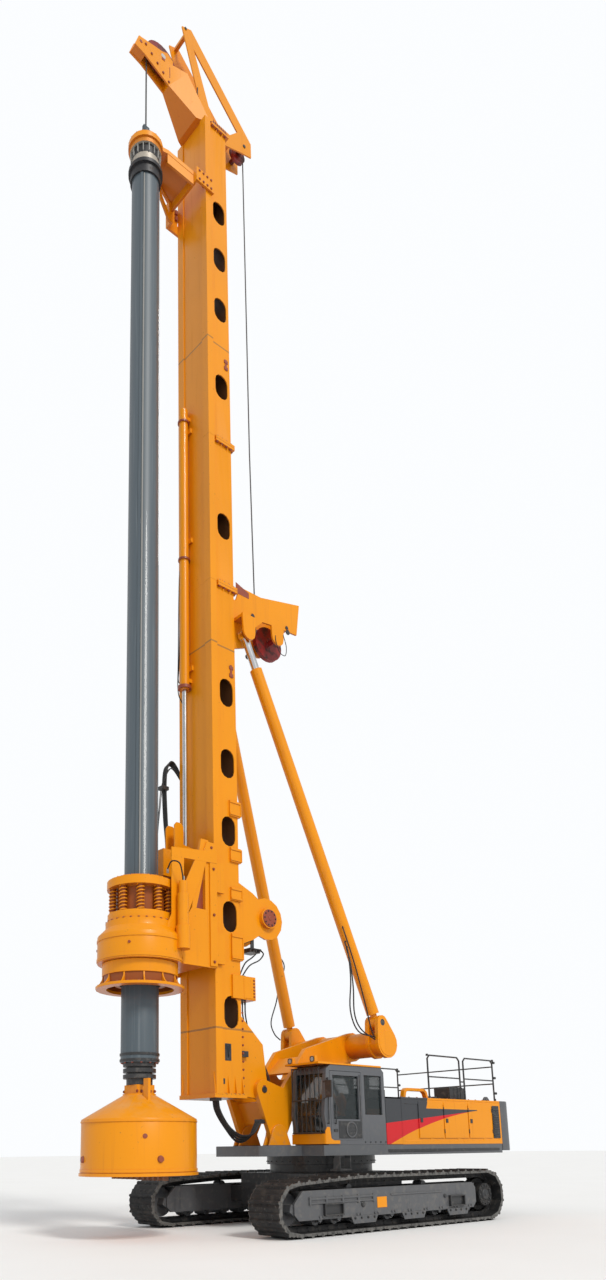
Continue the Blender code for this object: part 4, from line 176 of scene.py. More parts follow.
class Finish:
    """A material made of nodes, with the surface's place and direction ready as taps."""

    def __init__(self, name):
        self.material = bpy.data.materials.new(name)
        self.material.use_nodes = True
        self.tree = self.material.node_tree
        self.shader = self.tree.nodes["Principled BSDF"]
        self.place = self.node("TexCoord", output="Object")
        self.x, self.y, self.z = self.parts(self.place)

    def node(self, kind, settings=None, inputs=None, output=0):
        """Adds a shader node: its settings first, then the values or links of its sockets."""
        node = self.tree.nodes.new("ShaderNode" + kind)
        for key, setting in (settings or {}).items():
            setattr(node, key, setting)
        for key, part in (inputs or {}).items():
            feed(self.tree, node.inputs[key], part)
        return Tap(self.tree, node.outputs[output])

    def parts(self, vector):
        split = self.node("SeparateXYZ", inputs={0: vector}).socket.node
        return [Tap(self.tree, part) for part in split.outputs]

    def noise(self, scale, detail=3.0, stretch=None):
        """Cloudy variation from 0 to 1. Stretch squeezes the pattern along each axis."""
        place = self.place
        if stretch:
            place = self.node("VectorMath", {"operation": "MULTIPLY"}, {0: place, 1: stretch})
        return self.node("TexNoise", {}, {"Vector": place, "Scale": scale, "Detail": detail}, "Fac")

    def mix(self, share, low, high):
        """A colour that goes from low to high as share goes from 0 to 1."""
        node = self.tree.nodes.new("ShaderNodeMix")
        node.data_type = "RGBA"
        for socket, part in ((node.inputs[0], share), (node.inputs[6], low), (node.inputs[7], high)):
            feed(self.tree, socket, part)
        return Tap(self.tree, node.outputs[2])

    def facing(self):
        """How far the surface looks up: 1 on a top, 0 on a wall, -1 below."""
        return self.parts(self.node("NewGeometry", output="Normal"))[2]

    def done(self, height=None, depth=0.002, **sockets):
        """Feeds the shader's sockets by their names, and a bump from a height."""
        for name, part in sockets.items():
            feed(self.tree, self.shader.inputs[name.replace("_", " ")], part)
        if height is not None:
            bump = self.node("Bump", {}, {"Height": height, "Distance": depth, "Strength": 0.6})
            feed(self.tree, self.shader.inputs["Normal"], bump)
        return self.material


def pale_floor():
    """Smooth pale floor with the faint patches of a swept studio."""
    finish = Finish("pale_floor")
    patches = finish.noise(0.35, 4)
    return finish.done(Base_Color=finish.mix(patches, (0.88, 0.88, 0.87), (0.93, 0.93, 0.93)),
                       Roughness=0.75 + patches * 0.15, height=finish.noise(30), depth=0.001)


floor_mesh = bpy.data.meshes.new("floor")
floor_mesh.from_pydata([(x, y, -0.002) for x, y in ((-1, -1), (1, -1), (1, 1), (-1, 1))], [], [(0, 1, 2, 3)])
floor_mesh.transform(Matrix.Diagonal((FLOOR_HALF, FLOOR_HALF, 1, 1)))
floor_mesh.materials.append(pale_floor())
floor = bpy.data.objects.new("floor", floor_mesh)
bpy.context.scene.collection.objects.link(floor)

sun = bpy.data.objects.new("sun", bpy.data.lights.new("sun", "SUN"))
sun.data.energy = 1.75
sun.data.angle = math.radians(14)
sun.data.color = (1.0, 0.97, 0.92)
sun.rotation_euler = SUN_FROM.to_track_quat("Z", "Y").to_euler()
bpy.context.scene.collection.objects.link(sun)

surround = bpy.data.worlds.new("surround")
surround.use_nodes = True
bpy.context.scene.world = surround
seen = surround.node_tree.nodes.new("ShaderNodeLightPath")
level = surround.node_tree.nodes.new("ShaderNodeMix")
level.inputs[2].default_value, level.inputs[3].default_value = 0.66, 1.0
surround.node_tree.links.new(seen.outputs["Is Camera Ray"], level.inputs[0])
white = surround.node_tree.nodes["Background"]
white.inputs["Color"].default_value = (0.97, 0.985, 1.0, 1)
surround.node_tree.links.new(level.outputs[0], white.inputs["Strength"])


# Ropes and hoses
# Galvanised wire rope runs taut from the rear pulley up over the sheaves and down to the kelly bar's
# swivel. Black rubber pressure hose hangs in slack loops between screwed fittings, where one part of the
# rig moves against the next. Each hose is laid in the section of a part that it joins.

SLEW_X = (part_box("slew_ring")[0].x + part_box("slew_ring")[1].x) / 2
HOSE, THICK_HOSE = 0.016, 0.024
MAIN_ROPE, REAR_ROPE = 0.021, 0.017


def at(x, y, z):
    """A place measured from the slewing axis at ground height."""
    return Vector((x + SLEW_X, y, z))


class Plan:
    """A Geometry Nodes tree with named sizes. It ends in Realize Instances and Set Material."""

    def __init__(self, name, sizes):
        self.tree = bpy.data.node_groups.new(name, "GeometryNodeTree")
        self.sockets = {}
        self.ask("Geometry", "NodeSocketGeometry")
        self.tree.interface.new_socket("Geometry", in_out="OUTPUT", socket_type="NodeSocketGeometry")
        self.ask("Material", "NodeSocketMaterial")
        for label, start in sizes.items():
            kind = "Object" if start is None else "Int" if isinstance(start, int) else "Float"
            self.ask(label, "NodeSocket" + kind, start)
        self.given = self.tree.nodes.new("NodeGroupInput")

    def ask(self, label, kind, start=None):
        socket = self.tree.interface.new_socket(label, in_out="INPUT", socket_type=kind)
        self.sockets[label] = socket.identifier
        if start is not None:
            socket.default_value = start

    def node(self, kind, settings=None, inputs=None, output=0):
        """Adds a node: its settings first, then a link, a named size or a value for its sockets."""
        node = self.tree.nodes.new(kind)
        for key, setting in (settings or {}).items():
            setattr(node, key, setting)
        for key, part in (inputs or {}).items():
            if isinstance(part, str) and part in self.sockets:
                part = self.given.outputs[part]
            if isinstance(part, bpy.types.NodeSocket):
                self.tree.links.new(part, node.inputs[key])
            else:
                node.inputs[key].default_value = part
        return node.outputs[output]

    def end(self, geometry):
        real = self.node("GeometryNodeRealizeInstances", inputs={"Geometry": geometry})
        painted = self.node("GeometryNodeSetMaterial", inputs={"Geometry": real, "Material": "Material"})
        out = self.tree.nodes.new("NodeGroupOutput")
        self.tree.links.new(painted, out.inputs[0])
        return self


def add(name, mesh):
    piece = bpy.data.objects.new(name, mesh)
    bpy.context.scene.collection.objects.link(piece)
    return piece


def grow(name, plan, mesh, material, body, blend=None, **sizes):
    """Runs a plan over a mesh and keeps the result as a plain piece that rides on a body."""
    seed = add(name + "_seed", mesh)
    step = seed.modifiers.new("plan", "NODES")
    step.node_group = plan.tree
    step[plan.sockets["Material"]] = material
    for label, value in sizes.items():
        step[plan.sockets[label]] = value
    evaluated = seed.evaluated_get(bpy.context.evaluated_depsgraph_get())
    made = bpy.data.meshes.new_from_object(evaluated)
    made.name = name
    bpy.data.objects.remove(seed)
    piece = add(name, made)
    if blend:
        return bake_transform(piece)
    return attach(piece, body)


def path_mesh(runs):
    """Each run of points as a chain of edges."""
    places, edges = [], []
    for run in runs:
        edges += [(len(places) + step, len(places) + step + 1) for step in range(len(run) - 1)]
        places += run
    mesh = bpy.data.meshes.new("runs")
    mesh.from_pydata(places, edges, [])
    return mesh


def smooth_run(points, steps=6):
    """A smooth curve through the points, with a few places between each pair."""
    points = [Vector(point) for point in points]
    ends = [points[0] * 2 - points[1], *points, points[-1] * 2 - points[-2]]
    run = []
    for a, b, c, d in zip(ends, ends[1:], ends[2:], ends[3:]):
        for step in range(steps):
            t = step / steps
            run.append(((b * 2) + (c - a) * t + (a * 2 - b * 5 + c * 4 - d) * t * t
                        + (b * 3 - a - c * 3 + d) * t ** 3) / 2)
    return run + [points[-1]]


def skin_plan():
    """A round skin along chains of edges."""
    plan = Plan("round_skin", {"Radius": 0.02, "Sides": 10})
    line = plan.node("GeometryNodeMeshToCurve", inputs={"Mesh": "Geometry"})
    ring = plan.node("GeometryNodeCurvePrimitiveCircle", inputs={"Resolution": "Sides", "Radius": "Radius"})
    skin = plan.node("GeometryNodeCurveToMesh",
                     inputs={"Curve": line, "Profile Curve": ring, "Fill Caps": True})
    return plan.end(plan.node("GeometryNodeSetShadeSmooth", inputs={"Geometry": skin}))


def wire_rope():
    """Twisted strands of galvanised wire, greased dark between them."""
    finish = Finish("wire_rope")
    angle = finish.node("TexWave", {"wave_type": "BANDS", "bands_direction": "DIAGONAL"},
                        {"Vector": finish.place, "Scale": 26.0, "Distortion": 0.4}, "Fac")
    return finish.done(Base_Color=finish.mix(angle, (0.035, 0.035, 0.037), (0.15, 0.15, 0.155)),
                       Metallic=0.75, Roughness=0.62 - angle * 0.2, height=angle, depth=0.004)


def hose_rubber():
    """Black pressure hose with a wrapped cover, dusty in patches."""
    finish = Finish("hose_rubber")
    dust, wrap = finish.noise(5, 4), finish.noise(240, 2)
    return finish.done(Base_Color=finish.mix(dust.ramp(0.5, 0.8), (0.009, 0.009, 0.010),
           (0.030, 0.029, 0.028)), Roughness=0.42 + dust * 0.25, height=wrap, depth=0.0008)


round_skin, rope_finish, hose_finish = skin_plan(), wire_rope(), hose_rubber()

kelly_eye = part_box("kelly_head")[1]
kelly_axis = (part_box("kelly_head")[0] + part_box("kelly_head")[1]) / 2
head_sheave_middle = (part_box("head_sheave")[0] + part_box("head_sheave")[1]) / 2
rear_low, rear_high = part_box("rear_sheave")
rear_middle = (rear_low + rear_high) / 2
groove = (rear_high.x - rear_low.x) / 2 - 0.035
pulley_middle = (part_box("guide_pulley")[0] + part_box("guide_pulley")[1]) / 2

hanging = [Vector((kelly_axis.x, 0,
                   kelly_eye.z - 0.05 + (head_sheave_middle.z - kelly_eye.z + 0.05) * step / 6))
           for step in range(7)]
grow("main_rope", round_skin, path_mesh([hanging]), rope_finish, None,
     ("mast", "kelly_guide", hanging[-2], hanging[0]), Radius=MAIN_ROPE, Sides=10)

rear_fall = [Vector((rear_middle.x - groove, 0, rear_middle.z)), Vector((rear_middle.x - groove, 0, 20)),
             Vector((pulley_middle.x + 0.40, 0, pulley_middle.z + 0.25))]
over_rear = [rear_middle + Vector((-math.cos(turn) * groove, 0, math.sin(turn) * groove))
             for turn in [step * math.pi / 8 for step in range(8)]]
crown_reach = head_sheave_middle + Vector((-0.05, 0, 0.475))
grow("rear_rope", round_skin, path_mesh([rear_fall[::-1] + over_rear[1:] + [crown_reach]]), rope_finish,
     "mast", Radius=REAR_ROPE, Sides=8)


# Running gear
# Forged chain links carry pressed steel shoes, each held by four bolts. The grouser edges are rubbed
# bright, and dry earth fills the corners. Welded side frames carry the rollers between plate guards.


def box(shape, low, high):
    """A block between two corners."""
    low, high = Vector(low), Vector(high)
    made = bmesh.ops.create_cube(shape, size=1)["verts"]
    bmesh.ops.scale(shape, vec=high - low, verts=made)
    bmesh.ops.translate(shape, vec=(high + low) / 2, verts=made)
    return made


def rod(shape, start, end, radius, far_radius=None, sides=16):
    """A round bar that may taper, between two places."""
    start, end = Vector(start), Vector(end)
    turn = (end - start).to_track_quat("Z", "Y").to_matrix().to_4x4()
    return bmesh.ops.create_cone(shape, cap_ends=True, segments=sides, radius1=radius,
                                 radius2=radius if far_radius is None else far_radius,
                                 depth=(end - start).length,
                                 matrix=Matrix.Translation((start + end) / 2) @ turn)["verts"]


def bar(shape, start, end, radius, sides):
    """A round bar of one thickness."""
    return rod(shape, start, end, radius, sides=sides)


def slab(shape, outline, plane, low, high):
    """A plate of the given outline, in the XZ, YZ or XY plane, from low to high across it."""
    order = {"XZ": lambda a, b, c: (a, c, b), "YZ": lambda a, b, c: (c, a, b), "XY": lambda a, b,
             c: (a, b, c)}[plane]
    bottom = [shape.verts.new(order(*point, low)) for point in outline]
    top = [shape.verts.new(order(*point, high)) for point in outline]
    shape.faces.new(bottom)
    shape.faces.new(top)
    for step in range(len(outline)):
        after = (step + 1) % len(outline)
        shape.faces.new((bottom[step], bottom[after], top[after], top[step]))
    return bottom + top


def settle(name, shape, material, body, bevel=0.005, angle=32):
    """Rounds the sharp edges a little, turns faces out, shades by angle, and fixes the piece to a body."""
    bmesh.ops.recalc_face_normals(shape, faces=shape.faces)
    limit = math.radians(angle)
    if bevel:
        sharp = [edge for edge in shape.edges if edge.is_manifold and edge.calc_face_angle(0) > limit]
        bmesh.ops.bevel(shape, geom=sharp, offset=bevel, segments=1, affect="EDGES", clamp_overlap=True)
    for face in shape.faces:
        face.smooth = True
    for edge in shape.edges:
        edge.smooth = edge.is_manifold and edge.calc_face_angle(0) < limit
    mesh = bpy.data.meshes.new(name)
    shape.to_mesh(mesh)
    shape.free()
    mesh.materials.append(material)
    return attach(add(name, mesh), body) if isinstance(body, str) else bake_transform(add(name, mesh))


def lathe(shape, profile, middle, sides=32, axis="Z"):
    """A ring turned from a closed profile of (radius, height) places, about a line through the middle."""
    turn = {"Z": Matrix.Identity(3), "Y": Matrix.Rotation(-math.pi / 2, 3, "X"),
            "X": Matrix.Rotation(math.pi / 2, 3, "Y")}[axis]
    loops = [[shape.verts.new(turn @ Vector((radius * math.cos(angle), radius * math.sin(angle),
                 height)) + Vector(middle)) for radius, height in profile]
             for angle in [2 * math.pi * step / sides for step in range(sides)]]
    for loop, after in zip(loops, loops[1:] + loops[:1]):
        for step in range(len(profile)):
            far = (step + 1) % len(profile)
            shape.faces.new((loop[step], loop[far], after[far], after[step]))


def hoop(inner, outer, low, high):
    """The profile of a flat ring or a short collar, for the lathe."""
    return [(inner, low), (outer, low), (outer, high), (inner, high)]


def weld(name, material, body, *parts, bevel=0.006, both=False):
    """Parts given as (maker, sizes), measured from the slewing axis, joined in one finished piece."""
    shape = bmesh.new()
    for maker, *sizes in parts:
        maker(shape, *sizes)
    if both:
        copied = bmesh.ops.duplicate(shape, geom=shape.verts[:] + shape.edges[:] + shape.faces[:])["geom"]
        bmesh.ops.scale(shape, vec=(1, -1, 1),
                        verts=[part for part in copied if isinstance(part, bmesh.types.BMVert)])
    bmesh.ops.translate(shape, vec=(SLEW_X, 0, 0), verts=shape.verts)
    return settle(name, shape, material, body, bevel)


def bolts(name, material, body, size, *rows):
    """Bolts in rows of (first place, last place, count, direction), measured from the slewing axis."""
    places = []
    for first, last, count, towards in rows:
        first, last = at(*first), at(*last)
        places += [(first.lerp(last, step / max(count - 1, 1)), towards) for step in range(count)]
    return set_out(name, bolt, places, material, body, size)


def bolt_circle(name, material, body, size, middle, radius, count, towards, first=0.0):
    """Bolts in a circle that faces along one axis."""
    turn = Vector(towards).to_track_quat("Z", "Y")
    places = [(at(*middle) + turn @ Vector((math.cos(angle), math.sin(angle), 0)) * radius, towards)
              for angle in [first + 2 * math.pi * step / count for step in range(count)]]
    return set_out(name, bolt, places, material, body, size)


def hoses(name, body, radius, *runs, blend=None, finish=None):
    """Hoses along smooth runs of places measured from the slewing axis."""
    paths = [smooth_run([at(*place) for place in run]) for run in runs]
    return grow(name, round_skin, path_mesh(paths), finish or hose_finish, body, blend, Radius=radius,
                Sides=8)


def dress(node, material, bevel=0.005):
    """A node's own shape with its edges rounded and its curves shaded smooth, in its real finish."""
    shape = bmesh.new()
    shape.from_mesh(frame["nodes"][node].data)
    bmesh.ops.remove_doubles(shape, verts=shape.verts, dist=0.0002)
    bmesh.ops.dissolve_limit(shape, angle_limit=math.radians(0.5), verts=shape.verts, edges=shape.edges)
    body = frame["nodes"][node]["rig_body"]
    piece = settle(node + "_finished", shape, material, body, bevel)
    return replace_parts(piece, node)


def set_out_plan():
    """One small piece set at each point, turned by the point's own angles."""
    plan = Plan("set_out", {"Piece": None, "Size": 1.0})
    piece = plan.node("GeometryNodeObjectInfo", {"transform_space": "ORIGINAL"}, {"Object": "Piece"},
                      "Geometry")
    turn = plan.node("GeometryNodeInputNamedAttribute", {"data_type": "FLOAT_VECTOR"}, {"Name": "turn"})
    angles = plan.node("FunctionNodeEulerToRotation", inputs={"Euler": turn})
    rows = plan.node("GeometryNodeInstanceOnPoints", inputs={"Points": "Geometry", "Instance": piece,
                                                             "Rotation": angles, "Scale": "Size"})
    return plan.end(rows)


def set_out(name, pattern, places, material, body, size=1.0):
    """Sets the pattern piece at each (place, direction that its Z axis takes, roll about it)."""
    mesh = bpy.data.meshes.new(name)
    mesh.from_pydata([place for place, *_ in places], [], [])
    turns = mesh.attributes.new("turn", "FLOAT_VECTOR", "POINT")
    for slot, (_, towards, *roll) in zip(turns.data, places):
        turn = Vector(towards).to_track_quat("Z", "Y").to_matrix()
        slot.vector = (turn @ Matrix.Rotation(roll[0] if roll else 0, 3, "Z")).to_euler()
    return grow(name, set_out_tree, mesh, material, body, Piece=pattern, Size=size)


def pattern_piece(name, shape):
    """A small piece that is only there to be repeated."""
    bmesh.ops.recalc_face_normals(shape, faces=shape.faces)
    mesh = bpy.data.meshes.new(name)
    shape.to_mesh(mesh)
    shape.free()
    piece = add(name, mesh)
    piece.hide_render = True
    return piece


def bolt_pattern():
    """Hexagon head on a round washer, one unit across the corners, its seat at the origin."""
    shape = bmesh.new()
    rod(shape, (0, 0, 0), (0, 0, 0.12), 0.62, sides=10)
    rod(shape, (0, 0, 0.12), (0, 0, 0.46), 0.5, 0.46, sides=6)
    return pattern_piece("bolt_pattern", shape)


def track_steel():
    """Worn black steel, rubbed pale on the shoes' outer ends, with brown earth in the lows."""
    finish = Finish("track_steel")
    earth = finish.noise(6, 4).ramp(0.45, 0.70)
    ends = (abs(abs(finish.y) - TRACK_MIDDLE) > SHOE_HALF - 0.012) * finish.noise(11, 4).ramp(0.25, 0.60)
    rubbed = ends.math("MAXIMUM", finish.noise(15, 4).ramp(0.62, 0.74) * 0.5)
    dark = finish.mix(earth, (0.019, 0.0195, 0.021), (0.036, 0.033, 0.030))
    return finish.done(Base_Color=finish.mix(rubbed * 0.85, dark, (0.19, 0.185, 0.175)),
                       Metallic=0.30 + rubbed * 0.3 - earth * 0.25, Roughness=0.68 - rubbed * 0.20,
                       height=finish.noise(30, 3), depth=0.0015)


def grey_paint(name, colour=(0.085, 0.090, 0.098), dirt=0.6):
    """Dark grey machine paint with dust lying on ledges and mud thrown up low down."""
    finish = Finish(name)
    tone = finish.noise(1.1, 4)
    dust = (finish.facing().ramp(0.5, 1.0) * 0.55 + finish.noise(9, 6).ramp(0.50, 0.72) * 0.4) * dirt
    streak = finish.noise(1.0, 4, (14, 14, 0.8)).ramp(0.60, 0.74) * dirt
    base = finish.mix(tone, colour, tuple(part * 1.28 for part in colour))
    base = finish.mix(streak * 0.5, base, tuple(part * 0.5 for part in colour))
    return finish.done(Base_Color=finish.mix(dust, base, (0.20, 0.185, 0.165)),
                       Roughness=0.42 + dust * 0.35 + tone * 0.1, Coat_Weight=0.22 - dust * 0.2,
                       height=finish.noise(90, 3) + streak * 0.3, depth=0.0012)


TRACK_MIDDLE = (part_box("track_left")[0].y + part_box("track_left")[1].y) / 2
SHOE_HALF = (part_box("track_left")[1].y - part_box("track_left")[0].y) / 2
SHOES = 54
SPROCKET_X, SPROCKET_Z = -3.16, 0.59
FRAME_FACE = 2.366
GUARD_XS = (1.28, -0.35, -1.96)
SIDES = ((1, "left"), (-1, "right"))
bolt, set_out_tree = bolt_pattern(), set_out_plan()
track_finish, frame_grey = track_steel(), grey_paint("frame_grey", (0.075, 0.078, 0.084), 0.9)
body_black = grey_paint("body_black", (0.020, 0.021, 0.023), 0.7)

for side in ("left", "right"):
    dress("track_" + side, track_finish, 0)
    dress("sprocket_" + side, track_finish, 0.003)
    dress("side_frame_" + side, frame_grey, 0.003)
dress("car_body", body_black)
dress("slew_ring", body_black, 0.003)
# Red-brown for bolts, keepers, fins, shims, clamps and small blocks: painted shade, the tone that yellow
# steel takes in shade.
shade_red_brown = grey_paint("shade_red_brown", (0.24, 0.045, 0.018), 0.3)
plated = grey_paint("plated", (0.42, 0.42, 0.41), 0.3)


def chain_places():
    """Place and outward angle of every shoe's pin, evenly along the chain's line."""
    lean = math.atan2(0.10, 1.83)
    line = [(SPROCKET_X, 0.13, -math.pi / 2)]
    idler = ((3.28, 0.54), 0.41, -math.pi / 2, math.pi / 2 - lean, (1.45, 1.05))
    sprocket = ((SPROCKET_X, SPROCKET_Z), 0.46, math.pi / 2, math.pi * 1.5, (SPROCKET_X, 0.13))
    for middle, radius, first, last, end in (idler, sprocket):
        line += [(middle[0] + radius * math.cos(angle), middle[1] + radius * math.sin(angle), angle)
                 for angle in [first + (last - first) * step / 40 for step in range(41)]]
        line.append((*end, last))
    lengths = [math.dist(a[:2], b[:2]) for a, b in zip(line, line[1:])]
    pitch, places, walked = sum(lengths) / SHOES, [], 0.0
    for length, start, end in zip(lengths, line, line[1:]):
        while len(places) < SHOES and len(places) * pitch < walked + length - 1e-6:
            share = (len(places) * pitch - walked) / length
            places.append(tuple(a + (b - a) * share for a, b in zip(start, end)))
        walked += length
    return places


pins = [Matrix.Translation(at(x, 0, z)) @ Matrix.Rotation(math.pi / 2 - angle, 4, "Y")
        for x, z, angle in chain_places()]
for side, name in SIDES:
    middle = side * TRACK_MIDDLE
    spots = [(pin @ Vector((along, middle + across, 0.088)), pin.to_3x3() @ Vector((0, 0, 1)))
             for pin in pins for along in (-0.095, 0.075) for across in (-0.085, 0.085)]
    set_out("shoe_bolts_" + name, bolt, spots, track_finish, "undercarriage", 0.034)
    shape = bmesh.new()
    for pin in pins:
        for across in (-0.168, 0.152):
            made = slab(shape, [(-0.15, -0.03), (-0.12, -0.055), (0.02, -0.055), (0.05, -0.03), (0.13, -0.03),
                                (0.15, 0.0), (0.13, 0.03), (-0.12, 0.03)], "XZ", middle + across,
                        middle + across + 0.016)
            bmesh.ops.transform(shape, matrix=pin, verts=made)
    settle("chain_links_" + name, shape, track_finish, "undercarriage", 0)

bolts("roller_bolts", frame_grey, "undercarriage", 0.05,
      *[((x + shift, side * 2.368, 0.375), (x + shift, side * 2.368, 0.375), 1, (0, side, 0))
        for x in [-2.45 + 5.0 * step / 9 for step in range(10)] for shift in (-0.05, 0.05)
        for side in (1, -1)])
for side, name in SIDES:
    bolt_circle("drive_bolts_" + name, body_black, "undercarriage", 0.045,
                (SPROCKET_X, side * 2.318, SPROCKET_Z), 0.21, 12, (0, side, 0))
weld("drive_caps", body_black, "undercarriage",
     (rod, (SPROCKET_X, 2.315, SPROCKET_Z), (SPROCKET_X, 2.345, SPROCKET_Z), 0.13, 0.115, 24),
     (rod, (SPROCKET_X, 2.345, SPROCKET_Z), (SPROCKET_X, 2.36, SPROCKET_Z), 0.05, 0.045, 12), both=True)
weld("frame_rails", frame_grey, "undercarriage", (box, (0.95, FRAME_FACE, 0.70), (2.90, 2.394, 0.745)),
     (box, (0.95, FRAME_FACE, 0.62), (2.90, 2.394, 0.655)),
     *[(box, (x, 2.364, 0.60), (x + 0.05, 2.40, 0.765)) for x in (0.95, 1.42, 1.90, 2.38, 2.85)],
     (box, (-1.40, FRAME_FACE, 0.70), (0.40, 2.390, 0.74)), bevel=0.008, both=True)
weld("frame_steps", body_black, "undercarriage",
     *[part for x in (1.94, -2.20) for part in ((box, (x, FRAME_FACE, 0.385), (x + 0.56, 2.440, 0.41)),
         (box, (x, FRAME_FACE, 0.60), (x + 0.56, 2.440, 0.625)),
         (box, (x, FRAME_FACE, 0.385), (x + 0.03, 2.436, 0.62)),
         (box, (x + 0.53, FRAME_FACE, 0.385), (x + 0.56, 2.436, 0.62)),
         (box, (x + 0.02, FRAME_FACE, 0.40), (x + 0.54, 2.380, 0.61)))], both=True)
weld("roller_guards", frame_grey, "undercarriage",
     *[(slab, [(x - 0.42, 0.34), (x - 0.34, 0.19), (x + 0.34, 0.19), (x + 0.42, 0.34)], "XZ", 2.372, 2.392)
       for x in GUARD_XS], both=True)
bolts("guard_bolts", body_black, "undercarriage", 0.045,
      *[((x - 0.30, side * 2.392, 0.30), (x + 0.30, side * 2.392, 0.30), 4, (0, side, 0))
        for x in GUARD_XS for side in (1, -1)])
weld("frame_knobs", body_black, "undercarriage",
     (rod, (1.30, FRAME_FACE, 0.56), (1.30, 2.40, 0.56), 0.06, 0.05, 16),
     (rod, (-1.50, FRAME_FACE, 0.62), (-1.50, 2.395, 0.62), 0.045, 0.04, 16), bevel=0.004, both=True)
bolt_circle("slew_bolts", body_black, "undercarriage", 0.05, (0, 0, 1.40), 1.262, 36, (0, 0, 1))

# Deck, hood and tail weight
# Folded steel doors and roof panels, sprayed orange yellow, stand on a dark grey welded deck. The cast
# tail weight is painted dark grey. Vinyl stripes run back along each side of the hood, and the same
# yellow is on a small marker plate on each side frame.

YELLOW = (0.82, 0.290, 0.002)
SHADE_YELLOW = (0.60, 0.185, 0.012)
# Deep brown orange, the painted shade on the undersides of yellow parts.
UNDERSIDE_SHADE_YELLOW = (0.42, 0.095, 0.012)
RED = (0.62, 0.012, 0.018)
side_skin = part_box("hood_left")[1].y
hood_low, hood_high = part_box("hood_left")


def yellow_paint(name, seams=(), stripes=None, inside=None, within=(0.17, 0.070, 0.028)):
    """Orange yellow enamel: slow tone changes, run-down dirt streaks, painted shade on the undersides, dust
    on ledges and ground weld seams.
    """
    finish = Finish(name)
    tone, fine = finish.noise(0.55, 4), finish.noise(70, 3)
    streak = finish.noise(1.0, 5, (9, 9, 0.55)).ramp(0.56, 0.76)
    chips = finish.noise(17, 6).ramp(0.70, 0.715)
    dust = finish.facing().ramp(0.6, 1.0) * finish.noise(3.5, 5).ramp(0.35, 0.75) * 0.45
    base = finish.mix(tone, tuple(part * 0.90 for part in YELLOW), tuple(part * 1.07 for part in YELLOW))
    base = finish.mix(streak * 0.30, base, SHADE_YELLOW)
    # Painted shade: faces that look down are darkened towards the deep brown orange.
    underside_shade = (0.0 - finish.facing()).ramp(0.15, 0.85) * 0.75
    base = finish.mix(underside_shade, base, UNDERSIDE_SHADE_YELLOW)
    for seam in seams:
        line = finish.z.near(seam, 0.022)
        base = finish.mix(line * (0.45 + fine * 0.3), base, (0.16, 0.10, 0.05))
    if stripes:
        base = stripes(finish, base)
    # The inside region takes the within colour: painted shade in the mast and between the springs, the
    # teeth's own brown on the gate.
    if inside:
        base = finish.mix(inside(finish), base, within)
    base = finish.mix(chips * 0.4, base, (0.16, 0.09, 0.04))
    return finish.done(Base_Color=finish.mix(dust, base, (0.55, 0.44, 0.28)),
                       Roughness=0.33 + dust * 0.5 + streak * 0.12 + chips * 0.3,
                       Coat_Weight=0.10 - dust * 0.10, Specular_IOR_Level=0.28,
                       height=fine * 0.35 + tone - chips, depth=0.0010)


def hood_stripes(finish, base):
    """A long dark wedge with a red sweep below it, both running back to a point."""
    length = (finish.x - STRIPE_TAIL) / (STRIPE_NOSE - STRIPE_TAIL)
    side = abs(finish.y) > side_skin - 0.02
    along = (finish.x > STRIPE_TAIL) * (finish.x < STRIPE_NOSE) * side
    under = STRIPE_TOP - 0.02 - length * WEDGE_DEPTH
    wedge = (finish.z < STRIPE_TOP) * (finish.z > under) * along
    sweep = RED_FALL * length * length
    red = (finish.z < under) * (finish.z > under - sweep) * along * (length > 0.12)
    nose = (finish.x > NOSE_BACK + (STRIPE_TOP - finish.z) * 0.35) * (finish.z > STRIPE_TOP)
    base = finish.mix(red, base, RED)
    return finish.mix((wedge + nose).math("MINIMUM", 1.0), base, (0.050, 0.053, 0.060))


def deck_paint():
    """Grey deck paint, with the front lugs sprayed yellow with the boom."""
    finish = Finish("deck_paint")
    tone = finish.noise(1.1, 4)
    dust = finish.facing().ramp(0.5, 1.0) * 0.35 + finish.noise(9, 6).ramp(0.50, 0.72) * 0.25
    grey = finish.mix(tone, (0.085, 0.090, 0.098), (0.108, 0.115, 0.125))
    lug = (finish.z > 1.775) * (finish.x > SLEW_X)
    base = finish.mix(lug, grey, YELLOW)
    return finish.done(Base_Color=finish.mix(dust, base, (0.20, 0.185, 0.165)), Roughness=0.45 + dust * 0.3,
                       Coat_Weight=0.2 - dust * 0.2, height=finish.noise(90, 3), depth=0.0012)


STRIPE_TAIL, STRIPE_NOSE = hood_low.x + 1.05, hood_high.x + 0.57
STRIPE_TOP, WEDGE_DEPTH, RED_FALL = 2.60, 0.34, 0.52
NOSE_BACK = hood_high.x - 0.95
machine_yellow = yellow_paint("machine_yellow")
hood_yellow = yellow_paint("hood_yellow", stripes=hood_stripes)
weight_grey = grey_paint("weight_grey", (0.075, 0.078, 0.085))

